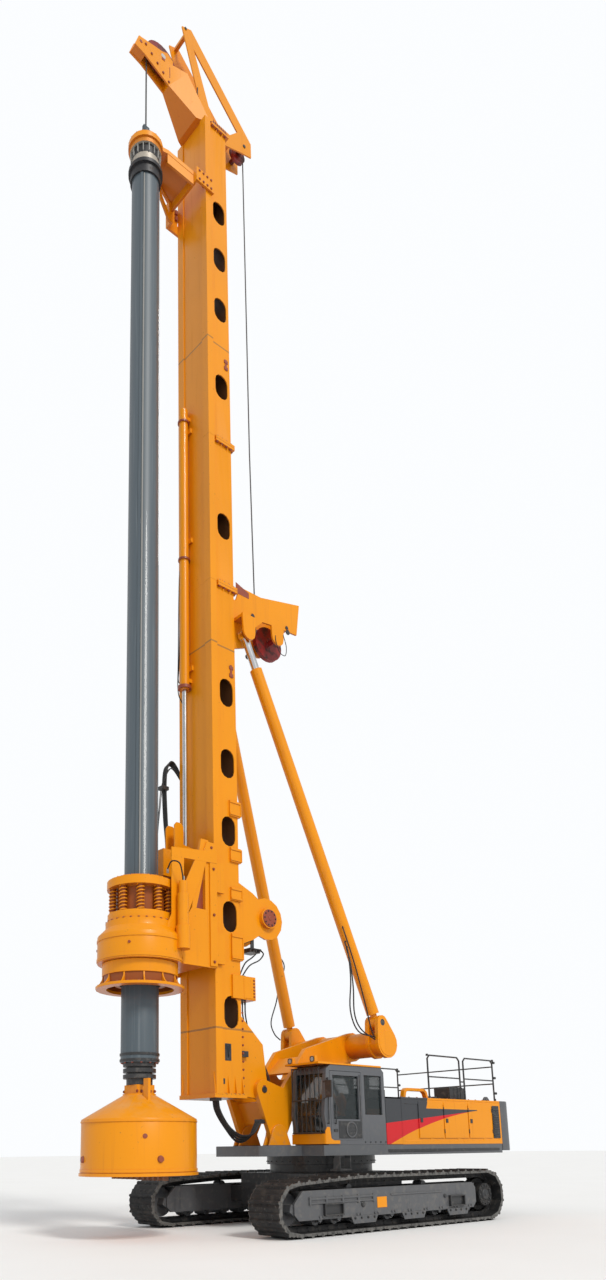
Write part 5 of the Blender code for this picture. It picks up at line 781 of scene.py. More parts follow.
dress("deck", deck_paint())
dress("counterweight", weight_grey, 0.012)
for node in ("hood_left", "hood_right", "hood_roof"):
    dress(node, hood_yellow)
for node in ("engine_block", "exhaust"):
    dress(node, body_black)
dress("handrails", body_black, 0)
weld("side_marker", machine_yellow, "undercarriage", (box, (0.54, FRAME_FACE, 0.47), (0.85, 2.380, 0.69)),
     bevel=0.004, both=True)
weld("hood_doors", hood_yellow, "upper",
     *[(box, (low, 1.622, 1.90), (high, 1.641, 2.76))
       for low, high in ((-4.72, -3.72), (-3.68, -2.70), (-2.66, -1.70))], both=True)
weld("hood_filler", hood_yellow, "upper", (box, (-1.07, 1.590, 1.765), (-0.495, 1.630, 2.84)),
     (box, (-1.07, 0.66, 2.80), (-0.495, 1.630, 2.84)))
weld("hood_hinges", body_black, "upper",
     *[(bar, (x, 1.648, z), (x, 1.648, z + 0.10), 0.012, 10) for x in (-4.73, -3.70, -2.68)
       for z in (2.02, 2.54)], *[(box, (x, 1.64, 2.27), (x + 0.09, 1.654, 2.37))
                                 for x in (-3.86, -2.84, -1.84)], bevel=0.003, both=True)
weld("hood_louvres", body_black, "upper",
     *[(slab, [(1.628, z), (1.650, z - 0.03), (1.650, z - 0.018), (1.628, z + 0.012)], "YZ", -5.06, -4.80)
       for z in [1.98 + 0.06 * step for step in range(12)]],
     (box, (-5.08, 1.622, 1.90), (-4.78, 1.634, 2.72)), bevel=0, both=True)
weld("roof_arch", machine_yellow, "upper",
     (slab, [(-2.42, 2.84), (-2.36, 3.02), (-2.26, 3.09), (-1.58, 3.09), (-1.49, 3.03), (-1.44, 2.84),
             (-1.52, 2.84), (-1.56, 2.99), (-1.63, 3.02), (-2.22, 3.02), (-2.29, 2.97), (-2.34, 2.84)], "XZ",
      1.30, 1.42), both=True)
weld("roof_boxes", body_black, "upper", (box, (-3.89, 0.98, 2.84), (-3.24, 1.46, 3.15)),
     (box, (-3.85, 1.02, 3.14), (-3.28, 1.42, 3.175)), (box, (-4.78, -0.62, 2.84), (-4.14, 0.62, 2.90)),
     *[(box, (-4.76, y, 2.89), (-4.16, y + 0.035, 2.925))
       for y in [-0.58 + 0.10 * step for step in range(12)]],
     (rod, (-3.0, 1.15, 2.84), (-3.0, 1.15, 2.93), 0.085, 0.075, 20))
weld("rail_knobs", body_black, "upper",
     *[(rod, (x, 1.577, z), (x, 1.577, z + 0.05), 0.034, 0.030, 12) for x in (-5.035, -2.24)
       for z in (2.86, 3.88)], *[(rod, (-5.04, 1.577, z), (-5.12, 1.577, z), 0.030, 0.034, 12)
                                 for z in (3.05, 3.45, 3.85)], bevel=0.004, both=True)
bolts("roof_bolts", shade_red_brown, "upper", 0.040,
      *[((-5.08, side * y, 2.85), (-1.16, side * y, 2.85), 14, (0, 0, 1)) for side in (1, -1)
        for y in (0.70, 1.56)])
weld("deck_edges", body_black, "upper", (box, (-4.95, 1.622, 1.59), (-0.52, 1.646, 1.66)),
     (rod, (-4.95, 1.634, 1.625), (-4.95, 1.646, 1.625), 0.035, 0.03, 16), both=True)
weld("deck_steps", body_black, "upper", (box, (0.95, 1.50, 1.22), (1.31, 1.80, 1.25)),
     (box, (0.95, 1.60, 1.25), (0.975, 1.79, 1.54)), (box, (1.285, 1.60, 1.25), (1.31, 1.79, 1.54)),
     (box, (0.95, 1.60, 1.49), (1.31, 1.64, 1.54)),
     *[(box, (0.97, 1.52 + 0.06 * row, 1.249), (1.29, 1.54 + 0.06 * row, 1.262)) for row in range(5)],
     bevel=0.004)
weld("weight_lugs", weight_grey, "upper",
     (slab, [(-5.62, 2.84), (-5.60, 2.94), (-5.53, 3.0), (-5.44, 3.0), (-5.37, 2.94), (-5.35, 2.84)], "XZ",
      0.98, 1.03), (bar, (-5.485, 0.96, 2.93), (-5.485, 1.05, 2.93), 0.03, 14), bevel=0.005, both=True)


# Cab
# A pressed steel cage sprayed dark grey, with a yellow visor roof and toughened tinted glass in rubber.
# Inside are a cloth seat, two armrest consoles and a floor mat. Work lamps stand on the visor.


def tinted_glass():
    """Toughened glass with a green grey tint, dusty towards its edges."""
    finish = Finish("tinted_glass")
    dust = finish.noise(3, 3).ramp(0.50, 0.95)
    return finish.done(Base_Color=finish.mix(dust, (0.022, 0.032, 0.034), (0.060, 0.065, 0.062)),
                       Roughness=0.05 + dust * 0.12, Alpha=0.45 + dust * 0.08, Coat_Weight=0.6,
                       height=finish.noise(2.0), depth=0.0006)


CAB_Y = 1.125
LAMP_YS = (CAB_Y - 0.34, CAB_Y + 0.34)
MAT_TOP = 1.812
MESH_X, MESH_Z, MESH_REACH, MESH_STEP = 0.72, 2.09, 0.150, 0.03
cab_grey = grey_paint("cab_grey", (0.088, 0.093, 0.103), 0.35)
glass = tinted_glass()
dress("cab_shell", cab_grey)
dress("cab_door", cab_grey, 0.004)
dress("cab_glass", glass, 0)
dress("cab_door_glass", glass, 0)
dress("cab_guard", machine_yellow)


def seat_cloth():
    """Woven charcoal cloth, a little faded where the driver sits."""
    finish = Finish("seat_cloth")
    weave = finish.noise(420, 2)
    fade = finish.noise(5, 3)
    return finish.done(Base_Color=finish.mix(fade, (0.030, 0.031, 0.034), (0.055, 0.055, 0.058)),
                       Roughness=0.82 + weave * 0.1, height=weave, depth=0.0012)


def cushion(name, middle, half, crown, seams, tilt=0.0):
    """A stuffed seat part: crowned above, pulled in at its corners, with sewn lines across."""
    shape = bmesh.new()
    bmesh.ops.create_cube(shape, size=2)
    bmesh.ops.subdivide_edges(shape, edges=shape.edges[:], cuts=11, use_grid_fill=True)
    for point in shape.verts:
        u, v, w = point.co
        pull = 1 - 0.10 * (abs(u) ** 6) * (abs(v) ** 6) - 0.05 * (abs(u * v)) ** 2
        rise = crown * (1 - u * u) * (1 - v * v) if w > 0 else 0
        for seam in seams:
            rise -= 0.012 * math.exp(-((u - seam) / 0.07) ** 2) if w > 0.9 else 0
        edge = 1 - 0.16 * abs(w) ** 4 * max(abs(u), abs(v)) ** 8
        point.co = Vector((u * half[0] * pull * edge, v * half[1] * pull * edge, w * half[2] + rise))
    bmesh.ops.transform(shape, verts=shape.verts,
                        matrix=Matrix.Translation(at(*middle)) @ Matrix.Rotation(tilt, 4, "Y"))
    return settle(name, shape, seat_finish, "upper", 0, 60)


seat_finish = seat_cloth()
cushion("seat_cushion", (0.28, CAB_Y, 2.30), (0.25, 0.25, 0.065), 0.025, (-0.45, 0.25), math.radians(-4))
cushion("seat_back", (0.005, CAB_Y, 2.62), (0.29, 0.235, 0.055), 0.03, (-0.5, 0.0, 0.5), math.radians(80))
cushion("head_rest", (-0.055, CAB_Y, 2.965), (0.07, 0.13, 0.045), 0.012, (0.0,), math.radians(80))
seat_base = weld("seat_base", body_black, "upper", (box, (0.06, 0.93, 1.81), (0.50, 1.32, 1.87)),
                 (rod, (0.28, CAB_Y, 1.86), (0.28, CAB_Y, 2.18), 0.09, 0.12, 20),
                 (box, (0.04, 0.90, 2.17), (0.52, 1.35, 2.245)),
                 (box, (-0.03, 1.00, 2.20), (0.02, 1.25, 2.80)), bevel=0.01)
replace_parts(seat_base, "cab_seat")
weld("seat_consoles", body_black, "upper", (box, (0.02, 1.37, 2.34), (0.48, 1.47, 2.42)),
     (box, (0.02, 0.78, 2.34), (0.48, 0.88, 2.42)), (box, (0.10, 1.38, MAT_TOP), (0.30, 1.46, 2.36)),
     (box, (0.10, 0.79, MAT_TOP), (0.30, 0.87, 2.36)),
     (rod, (0.42, 1.42, 2.41), (0.43, 1.42, 2.55), 0.018, 0.026, 12),
     (rod, (0.42, 0.83, 2.41), (0.43, 0.83, 2.55), 0.018, 0.026, 12),
     (box, (1.20, 1.02, MAT_TOP), (1.32, 1.10, 2.10)), (box, (1.20, 1.16, MAT_TOP), (1.32, 1.24, 2.10)),
     (rod, (1.125, 0.91, MAT_TOP), (1.140, 0.91, 2.62), 0.020, 0.016, 12),
     (slab, [(1.10, 2.55), (1.13, 2.55), (1.19, 2.80), (1.16, 2.80)], "XZ", 0.78, 1.04), bevel=0.008)
weld("floor_mat", body_black, "upper", (box, (-0.30, 0.72, 1.802), (1.45, 1.54, 1.815)), bevel=0.003)
weld("lamp_rims", body_black, "upper",
     *[(lathe, hoop(0.052, 0.064, 0.0, 0.022), (1.706, y, 3.60), 24, "X")
       for y in LAMP_YS],
     *[(box, (1.60, y - 0.02, 3.48), (1.64, y + 0.02, 3.54)) for y in LAMP_YS], bevel=0.002)
weld("lamp_glass", plated, "upper",
     *[(rod, (1.705, y, 3.60), (1.720, y, 3.60), 0.054, 0.046, 24) for y in LAMP_YS], bevel=0.003)
weld("front_bars", body_black, "upper",
     *[(bar, (1.60, y, 2.02), (1.60, y, 3.42), 0.012, 8) for y in [0.72 + 0.135 * step for step in range(7)]],
     *[(bar, (1.60, 0.70, z), (1.60, 1.55, z), 0.016, 8) for z in (2.02, 2.72, 3.42)],
     *[(bar, (1.55, y, z), (1.60, y, z), 0.014, 8) for y in (0.72, 1.53) for z in (2.02, 2.72, 3.42)],
     bevel=0)
weld("cab_mirror", body_black, "upper", (bar, (1.54, 1.60, 3.10), (1.66, 1.86, 3.14), 0.013, 10),
     (bar, (1.54, 1.60, 2.74), (1.66, 1.86, 2.78), 0.013, 10),
     (bar, (1.66, 1.86, 2.70), (1.66, 1.86, 3.18), 0.013, 10), (box, (1.64, 1.78, 2.76), (1.68, 1.96, 3.12)))
weld("cab_handles", body_black, "door", (bar, (1.24, 1.675, 2.20), (1.24, 1.675, 2.62), 0.013, 10),
     (bar, (1.24, 1.62, 2.22), (1.24, 1.675, 2.22), 0.012, 8),
     (bar, (1.24, 1.62, 2.60), (1.24, 1.675, 2.60), 0.012, 8),
     (box, (1.16, 1.626, 2.04), (1.28, 1.646, 2.10)), bevel=0.003)
weld("cab_rails", body_black, "upper", (bar, (1.47, 1.675, 2.20), (1.47, 1.675, 3.20), 0.014, 10),
     (bar, (1.47, 1.62, 2.22), (1.47, 1.675, 2.22), 0.012, 8),
     (bar, (1.47, 1.62, 3.18), (1.47, 1.675, 3.18), 0.012, 8), bevel=0)
weld("cab_wiper", body_black, "upper", (rod, (1.568, 1.10, 2.10), (1.572, 1.36, 2.70), 0.008, 0.006, 8),
     (box, (1.566, 1.20, 2.36), (1.574, 1.44, 2.40)), bevel=0.001)
weld("cab_sill", machine_yellow, "upper",
     (slab, [(1.11, 1.78), (1.56, 1.78), (1.56, 2.06), (1.50, 2.14), (1.42, 2.14), (1.38, 1.90), (1.30, 1.86),
             (1.11, 1.86)], "XZ", 1.624, 1.650), (box, (1.548, 0.64, 1.78), (1.574, 1.63, 2.00)))
weld("door_panel", body_black, "door", (box, (0.36, 1.626, 1.90), (1.12, 1.640, 2.275)),
     (box, (0.36, 1.626, 2.27), (0.395, 1.640, 3.30)))
mesh_wires = [(step * MESH_STEP, math.sqrt(MESH_REACH ** 2 - (step * MESH_STEP) ** 2))
              for step in range(-4, 5)]
weld("round_mesh", frame_grey, "door",
     (lathe, hoop(0.145, 0.175, -0.004, 0.014), (MESH_X, 1.640, MESH_Z), 36, "Y"),
     *[(bar, (MESH_X + shift, 1.642, MESH_Z - half), (MESH_X + shift, 1.642, MESH_Z + half), 0.004, 6)
       for shift, half in mesh_wires],
     *[(bar, (MESH_X - half, 1.642, MESH_Z + shift), (MESH_X + half, 1.642, MESH_Z + shift), 0.004, 6)
       for shift, half in mesh_wires], bevel=0)
bolts("cab_bolts", body_black, "upper", 0.03, ((-0.44, 1.631, 1.82), (0.26, 1.631, 1.82), 5, (0, 1, 0)),
      ((-0.40, 0.70, 3.491), (-0.40, 1.56, 3.491), 5, (0, 0, 1)))


# Boom and cylinders
# Two box-section boom plates meet a cross tube with round end cheeks. The cylinders are honed steel
# barrels painted yellow, with hard-chromed rods that run through bolted glands.


def chrome():
    """Hard chrome, bright, with fine turned scratches and an oil film."""
    finish = Finish("chrome")
    film = finish.noise(4, 4, (1, 1, 0.4))
    return finish.done(Base_Color=finish.mix(film, (0.62, 0.63, 0.65), (0.80, 0.80, 0.80)), Metallic=1.0,
                       Roughness=0.12 + film * 0.18, height=finish.noise(300, 2, (0.2, 0.2, 1)), depth=0.0003)


chrome_finish = chrome()
dress("boom_frame", machine_yellow, 0.008)
dress("cross_tube", machine_yellow, 0.006)
for side in ("left", "right"):
    dress("luff_barrel_" + side, machine_yellow)
    dress("stay_barrel_" + side, machine_yellow)
    dress("luff_rod_" + side, chrome_finish, 0)
    dress("stay_rod_" + side, chrome_finish, 0)


def pin_heads(name, body, *places):
    """Pin heads with keeper plates, both sides of the rig: (x, half width, z, radius)."""
    weld(name, body_black, body, *[(rod, (x, y, z), (x, y + 0.022, z), radius, radius * 0.93, 24)
                                   for x, y, z, radius in places], bevel=0.003, both=True)
    weld(name + "_keepers", shade_red_brown, body,
         *[(box, (x - radius * 0.5, y, z + radius * 0.85), (x + radius * 0.5, y + 0.014, z + radius * 1.25))
           for x, y, z, radius in places], bevel=0.003, both=True)


pin_heads("boom_pins", "boom", (1.90, 0.551, 1.98, 0.075), (2.30, 0.551, 2.97, 0.075))
pin_heads("stay_pins", "boom", (-0.56, 1.60, 4.57, 0.085))
hoses("stay_hoses_far", None, HOSE, [(0.04, -1.30, 6.70), (-0.20, -1.40, 6.62), (-0.42, -1.45, 6.36),
                                     (-0.28, -1.52, 5.87), (-0.22, -1.58, 5.43), (-0.07, -1.64, 4.90),
                                     (-0.20, -1.66, 4.60), (-0.34, -1.59, 4.44)],
      blend=("stay_barrels", "boom", at(-0.3, 0, 5.3), at(-0.5, 0, 4.45)))
hoses("stay_hoses_near", None, HOSE, [(0.20, 1.28, 6.47), (0.35, 1.36, 6.42), (0.50, 1.58, 6.10),
                                      (0.50, 1.62, 5.47), (0.56, 1.62, 4.76), (0.27, 1.58, 4.30),
                                      (-0.36, 1.53, 4.22)], [(0.29, 1.27, 6.79), (0.40, 1.38, 6.72),
       (0.28, 1.56, 5.90), (0.02, 1.60, 5.00), (-0.20, 1.56, 4.42), (-0.36, 1.53, 4.20)],
      [(0.16, 1.28, 6.35), (0.30, 1.36, 6.28), (0.42, 1.56, 5.90), (0.40, 1.60, 5.30), (0.40, 1.60, 4.70),
       (0.15, 1.56, 4.36), (-0.36, 1.53, 4.16)],
      blend=("stay_barrels", "boom", at(0.4, 0, 5.3), at(0.1, 0, 4.40)))
hoses("luff_hoses", None, HOSE,
      *[[(-1.32, side * 0.365, 2.42), (-1.10, side * 0.47, 2.55), (-0.70, side * 0.44, 2.40),
         (-0.35, side * 0.42, 2.15), (-0.10, side * 0.40, 1.75)] for side in (1, -1)],
      blend=("luff_barrels", "upper", at(-1.1, 0, 2.5), at(-0.4, 0, 2.1)))


# Mast
# Three box-section lengths of plate, welded along their corners and bolted end to end at flanges.
# Guide rails run up the front edges, and rounded windows are cut through the sides. A winch, a valve
# box and the pulley bracket are bolted on behind, and the head carries the sheaves between its plates.


def mast_inner_shade(finish):
    """1 on the unlit inner walls seen through the windows, where painted shade darkens them."""
    return (abs(finish.y) < 0.512) * (finish.x > SLEW_X + 2.95) * (finish.x < SLEW_X + 3.68)


FLANGES = (15.05, 19.15)
WINCH_X, WINCH_Z = 2.02, 6.90
CROWD_LINE = (3.85, -0.25, 0)
SEAMS = (4.24, 13.4, 22.1)
# Painted shade darkens the mast's inner walls behind the windows.
seam_yellow = yellow_paint("seam_yellow", seams=SEAMS, inside=mast_inner_shade)
for node in ("mast_lower", "mast_middle", "mast_upper"):
    dress(node, seam_yellow, 0.008)
for node in ("mast_head", "rear_jib", "mast_bracket", "crowd_barrel", "winch_frame"):
    dress(node, machine_yellow, 0.006)
dress("crowd_rod", chrome_finish, 0)
rows = []
for level in FLANGES:
    for z, up in ((level - 0.07, -1), (level + 0.07, 1)):
        rows += [((2.97, side * 0.572, z), (3.42, side * 0.572, z), 4, (0, 0, up)) for side in (1, -1)]
        rows += [((2.893, -0.50, z), (2.893, 0.50, z), 6, (0, 0, up))]
bolts("flange_bolts", shade_red_brown, "mast", 0.060, *rows,
      *[((2.97, side * 0.572, 29.33), (3.42, side * 0.572, 29.33), 4, (0, 0, -1)) for side in (1, -1)])
weld("flange_shims", shade_red_brown, "mast",
     *[(box, (2.862, 0.50, z - 0.012), (3.44, 0.603, z + 0.012)) for z in (*FLANGES, 29.40)],
     *[(box, (2.862, -0.50, z - 0.012), (2.90, 0.50, z + 0.012)) for z in FLANGES], bevel=0.002, both=True)
weld("mast_clamps", shade_red_brown, "mast",
     *[(box, (3.00, 0.530, z + shift), (3.12, 0.560, z + shift + 0.09)) for z in (12.80, 21.59)
       for shift in (-0.12, 0.08)], *[(box, (3.03, 0.530, z - 0.14), (3.09, 0.552, z + 0.20))
                                      for z in (12.80, 21.59)], both=True)
weld("mast_collars", seam_yellow, "mast",
     *[part for low, high in ((5.80, 6.34), (7.16, 7.43), (8.07, 8.37), (9.17, 9.51))
       for part in ((box, (2.89, 0.575, high - 0.05), (3.20, 0.600, high)),
                    (box, (2.89, 0.575, low), (3.20, 0.600, low + 0.05)),
                    (box, (2.862, 0.50, low), (2.89, 0.600, high)))], bevel=0.008, both=True)
bolts("cover_row", shade_red_brown, "mast", 0.045,
      *[((2.90, side * 0.537, 3.02), (2.90, side * 0.537, 4.62), 10, (0, side, 0)) for side in (1, -1)])
weld("foot_ribs", seam_yellow, "mast",
     *[(slab, [(0.530, 3.30), (0.602, 2.825), (0.530, 2.825)], "YZ", x, x + 0.025)
       for x in (2.92, 3.12, 3.32, 3.52, 3.72)], bevel=0.003, both=True)
bolts("foot_bolts", body_black, "mast", 0.055,
      *[((2.95, side * 0.577, 2.832), (3.68, side * 0.577, 2.832), 7, (0, 0, 1)) for side in (1, -1)])
weld("mast_fittings", body_black, "mast", (box, (3.43, 0.530, 3.05), (3.50, 0.542, 3.17)),
     (box, (3.24, 0.530, 3.55), (3.42, 0.541, 3.92)),
     (rod, (3.31, 0.54, 3.60), (3.34, 0.60, 3.86), 0.014, 0.012, 10),
     (rod, (3.34, 0.60, 3.86), (3.345, 0.61, 3.90), 0.028, 0.024, 12),
     (box, (2.72, 0.36, 3.66), (2.98, 0.52, 3.79)), (box, (2.76, 0.34, 4.90), (2.95, 0.52, 5.47)),
     (box, (3.56, 0.496, 6.60), (3.60, 0.548, 6.74)), (box, (3.56, 0.496, 7.55), (3.60, 0.548, 7.69)))
weld("valve_box", machine_yellow, "mast", (box, (2.50, -0.46, 4.92), (2.90, 0.56, 5.45)),
     (box, (2.88, 0.50, 4.92), (3.20, 0.585, 5.45)), (box, (2.52, 0.555, 4.95), (2.86, 0.568, 5.42)),
     bevel=0.010)
weld("valve_knobs", body_black, "mast",
     *[(rod, (2.502, 0.34, z), (2.455, 0.34, z), 0.045, 0.038, 16) for z in (5.02, 5.185, 5.35)],
     *[(rod, (2.60 + 0.08 * step, 0.30, 4.85), (2.60 + 0.08 * step, 0.30, 4.93), 0.022, 0.026, 10)
       for step in range(3)], bevel=0.004)
bolts("valve_bolts", shade_red_brown, "mast", 0.040, ((2.56, 0.569, 5.00), (2.56, 0.569, 5.37), 6, (0, 1, 0)))
hoses("valve_hoses", None, HOSE, *[[(2.60 + 0.08 * step, 0.30, 4.88), (2.58 + 0.08 * step, 0.30, 4.55),
                                    (2.40 + 0.05 * step, 0.28, 4.05), (2.02, 0.26 - 0.05 * step, 3.55),
                                    (1.99, 0.38 - 0.05 * step, 3.25), (2.01, 0.40 - 0.05 * step, 3.06)]
                                   for step in range(3)], blend=("mast", "boom", at(2.6, 0, 4.5),
       at(2.1, 0, 3.65)))
hoses("foot_hoses", None, THICK_HOSE, *[[(2.36, 0.47 - 0.05 * step, 2.28),
         (2.62, 0.50 - 0.05 * step, 2.02 - 0.03 * step), (2.98, 0.52 - 0.05 * step, 1.98 - 0.04 * step),
         (3.30, 0.50 - 0.05 * step, 2.16), (3.52, 0.46 - 0.05 * step, 2.50), (3.56, 0.44 - 0.05 * step, 2.79)]
                                        for step in range(4)], blend=("boom", "mast", at(2.45, 0, 2.1),
       at(3.35, 0, 2.3)))
weld("hose_block", body_black, "mast", (box, (3.50, 0.24, 2.70), (3.62, 0.50, 2.82)), bevel=0.005)
weld("boom_ports", body_black, "boom", (box, (2.18, 0.29, 2.24), (2.38, 0.50, 2.33)),
     (box, (1.96, 0.24, 3.00), (2.06, 0.45, 3.10)), bevel=0.005)
weld("winch_cover", shade_red_brown, "mast",
     (rod, (WINCH_X, 0.565, WINCH_Z), (WINCH_X, 0.590, WINCH_Z), 0.215, 0.205, 32),
     (rod, (WINCH_X, 0.588, WINCH_Z), (WINCH_X, 0.604, WINCH_Z), 0.06, 0.05, 12), bevel=0.004)
bolt_circle("cover_bolts", body_black, "mast", 0.035, (WINCH_X, 0.589, WINCH_Z), 0.17, 10, (0, 1, 0))
weld("winch_motor", body_black, "mast",
     (rod, (WINCH_X, -0.465, WINCH_Z), (WINCH_X, -0.72, WINCH_Z), 0.17, 0.15, 28),
     (rod, (WINCH_X, -0.72, WINCH_Z), (WINCH_X, -0.86, WINCH_Z), 0.10, 0.09, 20),
     (box, (1.94, -0.84, 6.99), (2.10, -0.74, 7.07)))
weld("winch_valve", body_black, "mast", (box, (2.20, 0.10, 6.07), (2.52, 0.42, 6.17)),
     (box, (2.40, 0.40, 6.10), (2.50, 0.43, 6.45)),
     (rod, (2.26, 0.42, 6.12), (2.26, 0.50, 6.12), 0.035, 0.03, 12),
     (rod, (2.44, 0.42, 6.12), (2.44, 0.50, 6.12), 0.035, 0.03, 12))
hoses("winch_hoses", "mast", HOSE,
      [(2.26, 0.49, 6.12), (2.24, 0.56, 6.02), (2.38, 0.56, 5.86), (2.62, 0.50, 5.72), (2.80, 0.44, 5.46)],
      [(2.44, 0.49, 6.12), (2.46, 0.56, 6.02), (2.58, 0.54, 5.90), (2.74, 0.48, 5.76), (2.88, 0.44, 5.46)])
coils = [[at(WINCH_X + 0.325 * math.cos(turn), -0.33 + 0.022 * turn / math.pi,
             WINCH_Z + 0.325 * math.sin(turn)) for turn in [math.pi / 12 * step for step in range(24 * 14)]]]
grow("winch_rope", round_skin, path_mesh(coils), rope_finish, "winch_drum", Radius=REAR_ROPE, Sides=6)
pin_heads("bracket_pins", "mast", (2.19, 0.411, 14.72, 0.06), (0.99, 0.411, 14.86, 0.05),
          (1.31, 0.751, 14.45, 0.07))
weld("bracket_inset", shade_red_brown, "mast",
     (slab, [(2.30, 15.16), (2.74, 15.16), (2.74, 15.46), (2.30, 15.32)], "XZ", 0.405, 0.416), bevel=0.004,
     both=True)
hoses("bracket_cable", "mast", 0.010, [(1.12, 0.408, 14.62), (1.04, 0.43, 14.30), (1.10, 0.44, 14.02),
                                       (1.30, 0.44, 14.05), (1.40, 0.43, 14.30), (1.40, 0.408, 14.50)])
weld("gland_flange", shade_red_brown, "mast",
     (lathe, hoop(0.116, 0.165, 12.42, 12.50), CROWD_LINE, 28),
     *[(lathe, hoop(0.116, 0.150, z, z + 0.05), CROWD_LINE, 28) for z in (15.9, 19.9)], bevel=0.003)
weld("barrel_saddles", seam_yellow, "mast",
     *[(box, (3.70, -0.42, z), (3.755, -0.08, z + 0.14)) for z in (12.9, 16.4, 19.6)])
hoses("crowd_hoses", "mast", 0.012, [(3.86, -0.36, 12.62), (3.88, -0.46, 12.75), (3.84, -0.47, 13.4),
                                     (3.80, -0.46, 16.0), (3.78, -0.46, 20.1), (3.84, -0.38, 20.2)],
      [(3.72, -0.50, 12.2), (3.84, -0.52, 12.5), (3.84, -0.51, 13.4), (3.80, -0.51, 15.6),
       (3.74, -0.50, 15.9)])
weld("head_pins", plated, "mast", (bar, (4.808, -0.150, 31.0), (4.808, 0.150, 31.0), 0.075, 24), bevel=0.003)
weld("head_keeper", shade_red_brown, "mast", (box, (4.76, 0.139, 30.86), (4.86, 0.152, 30.94)),
     (box, (4.50, 0.139, 30.42), (4.60, 0.152, 30.80)),
     (rod, (5.56, 0.10, 30.80), (5.56, 0.15, 30.80), 0.05, 0.045, 14), bevel=0.003, both=True)
weld("head_fins", shade_red_brown, "mast", *[(slab,
                                        [(0.318, 29.80), (0.318, 29.402), (0.600, 29.402), (0.600, 29.44)],
                                        "YZ", x, x + 0.022) for x in [2.90 + 0.072 * step
         for step in range(8)]], *[(slab, [(0.545, 29.62), (0.545, 29.32), (0.600, 29.34), (0.600, 29.44)],
                                    "YZ", x, x + 0.022) for x in [2.93 + 0.072 * step for step in range(7)]],
     bevel=0.003, both=True)
weld("front_fins", shade_red_brown, "mast", *[(slab, [(3.462, 29.60), (3.462, 29.402), (3.60, 29.402)], "XZ", y,
         y + 0.022) for y in [0.04 + 0.085 * step for step in range(6)]], bevel=0.003, both=True)
weld("head_lever", body_black, "mast", (rod, (3.78, 0.30, 30.05), (3.86, 0.46, 30.42), 0.022, 0.016, 10),
     (box, (3.66, 0.16, 29.98), (3.90, 0.32, 30.08)), bevel=0.004)
bolts("head_bolts", shade_red_brown, "mast", 0.060, ((3.50, -0.46, 29.475), (3.50, 0.46, 29.475), 5, (0, 0, 1)),
      *[((4.62, side * 0.142, 30.25), (5.40, side * 0.142, 30.85), 5, (0, side, 0)) for side in (1, -1)])
pin_heads("jib_pins", "mast", (2.00, 0.316, 30.10, 0.05), (4.16, 0.316, 32.46, 0.04),
          (3.86, 0.316, 29.72, 0.05))


def sheave_red():
    """Cast sheave painted dark red, its groove greased black."""
    finish = Finish("sheave_red")
    grease = finish.noise(6, 4).ramp(0.45, 0.7)
    return finish.done(Base_Color=finish.mix(grease, (0.22, 0.015, 0.014), (0.045, 0.012, 0.010)),
                       Roughness=0.35 + grease * 0.2, height=finish.noise(80), depth=0.001)


sheave_finish = sheave_red()
for node in ("head_sheave", "rear_sheave", "guide_pulley"):
    dress(node, sheave_finish, 0.003)
dress("winch_drum", body_black, 0.003)


# Kelly bar
# A tube of rolled steel, painted blue grey, with welded drive keys along its length. A turned collar,
# a ribbed cap and a swivel eye close its top, and the lower sleeve ends in a bolted collar.


def kelly_paint():
    """Blue grey paint rubbed paler along the keys, where they slide in the sleeve."""
    finish = Finish("kelly_paint")
    tone = finish.noise(1.0, 4, (2, 2, 0.25))
    streak = finish.noise(1.0, 4, (24, 24, 0.4)).ramp(0.55, 0.75)
    base = finish.mix(tone, (0.060, 0.082, 0.100), (0.088, 0.115, 0.135))
    return finish.done(Base_Color=finish.mix(streak * 0.5, base, (0.16, 0.19, 0.21)),
                       Roughness=0.34 + tone * 0.2, Coat_Weight=0.2,
                       height=finish.noise(60, 4), depth=0.001)


def around(reach, turn, z=0.0):
    """A place at a distance from the drilling axis, measured from the slewing axis."""
    return KELLY_X + reach * math.cos(turn), reach * math.sin(turn), z


KELLY_X = 5.28
KELLY_LINE = (KELLY_X, 0, 0)
kelly_finish = kelly_paint()
collar_grey = grey_paint("collar_grey", (0.24, 0.235, 0.22), 0.5)


def kelly_head_paint():
    """Pale grey steel between a dark ribbed band and a black seat ring, with an orange cap."""
    finish = Finish("kelly_head_paint")
    tone, rust = finish.noise(3, 4), finish.noise(12, 5).ramp(0.55, 0.75)
    base = finish.mix(tone, (0.38, 0.34, 0.28), (0.48, 0.43, 0.36))
    base = finish.mix(finish.z > 27.345, base, (0.055, 0.075, 0.090))
    base = finish.mix((finish.z > 27.19) * (finish.z < 27.345), base, (0.62, 0.21, 0.010))
    base = finish.mix(((finish.z > 26.92) * (finish.z < 27.19)).math("MAXIMUM", finish.z < 26.625), base,
                      (0.022, 0.022, 0.025))
    return finish.done(Base_Color=finish.mix(rust * 0.35, base, (0.14, 0.085, 0.055)),
                       Roughness=0.45 + rust * 0.3, Metallic=0.25, height=finish.noise(40, 4), depth=0.001)


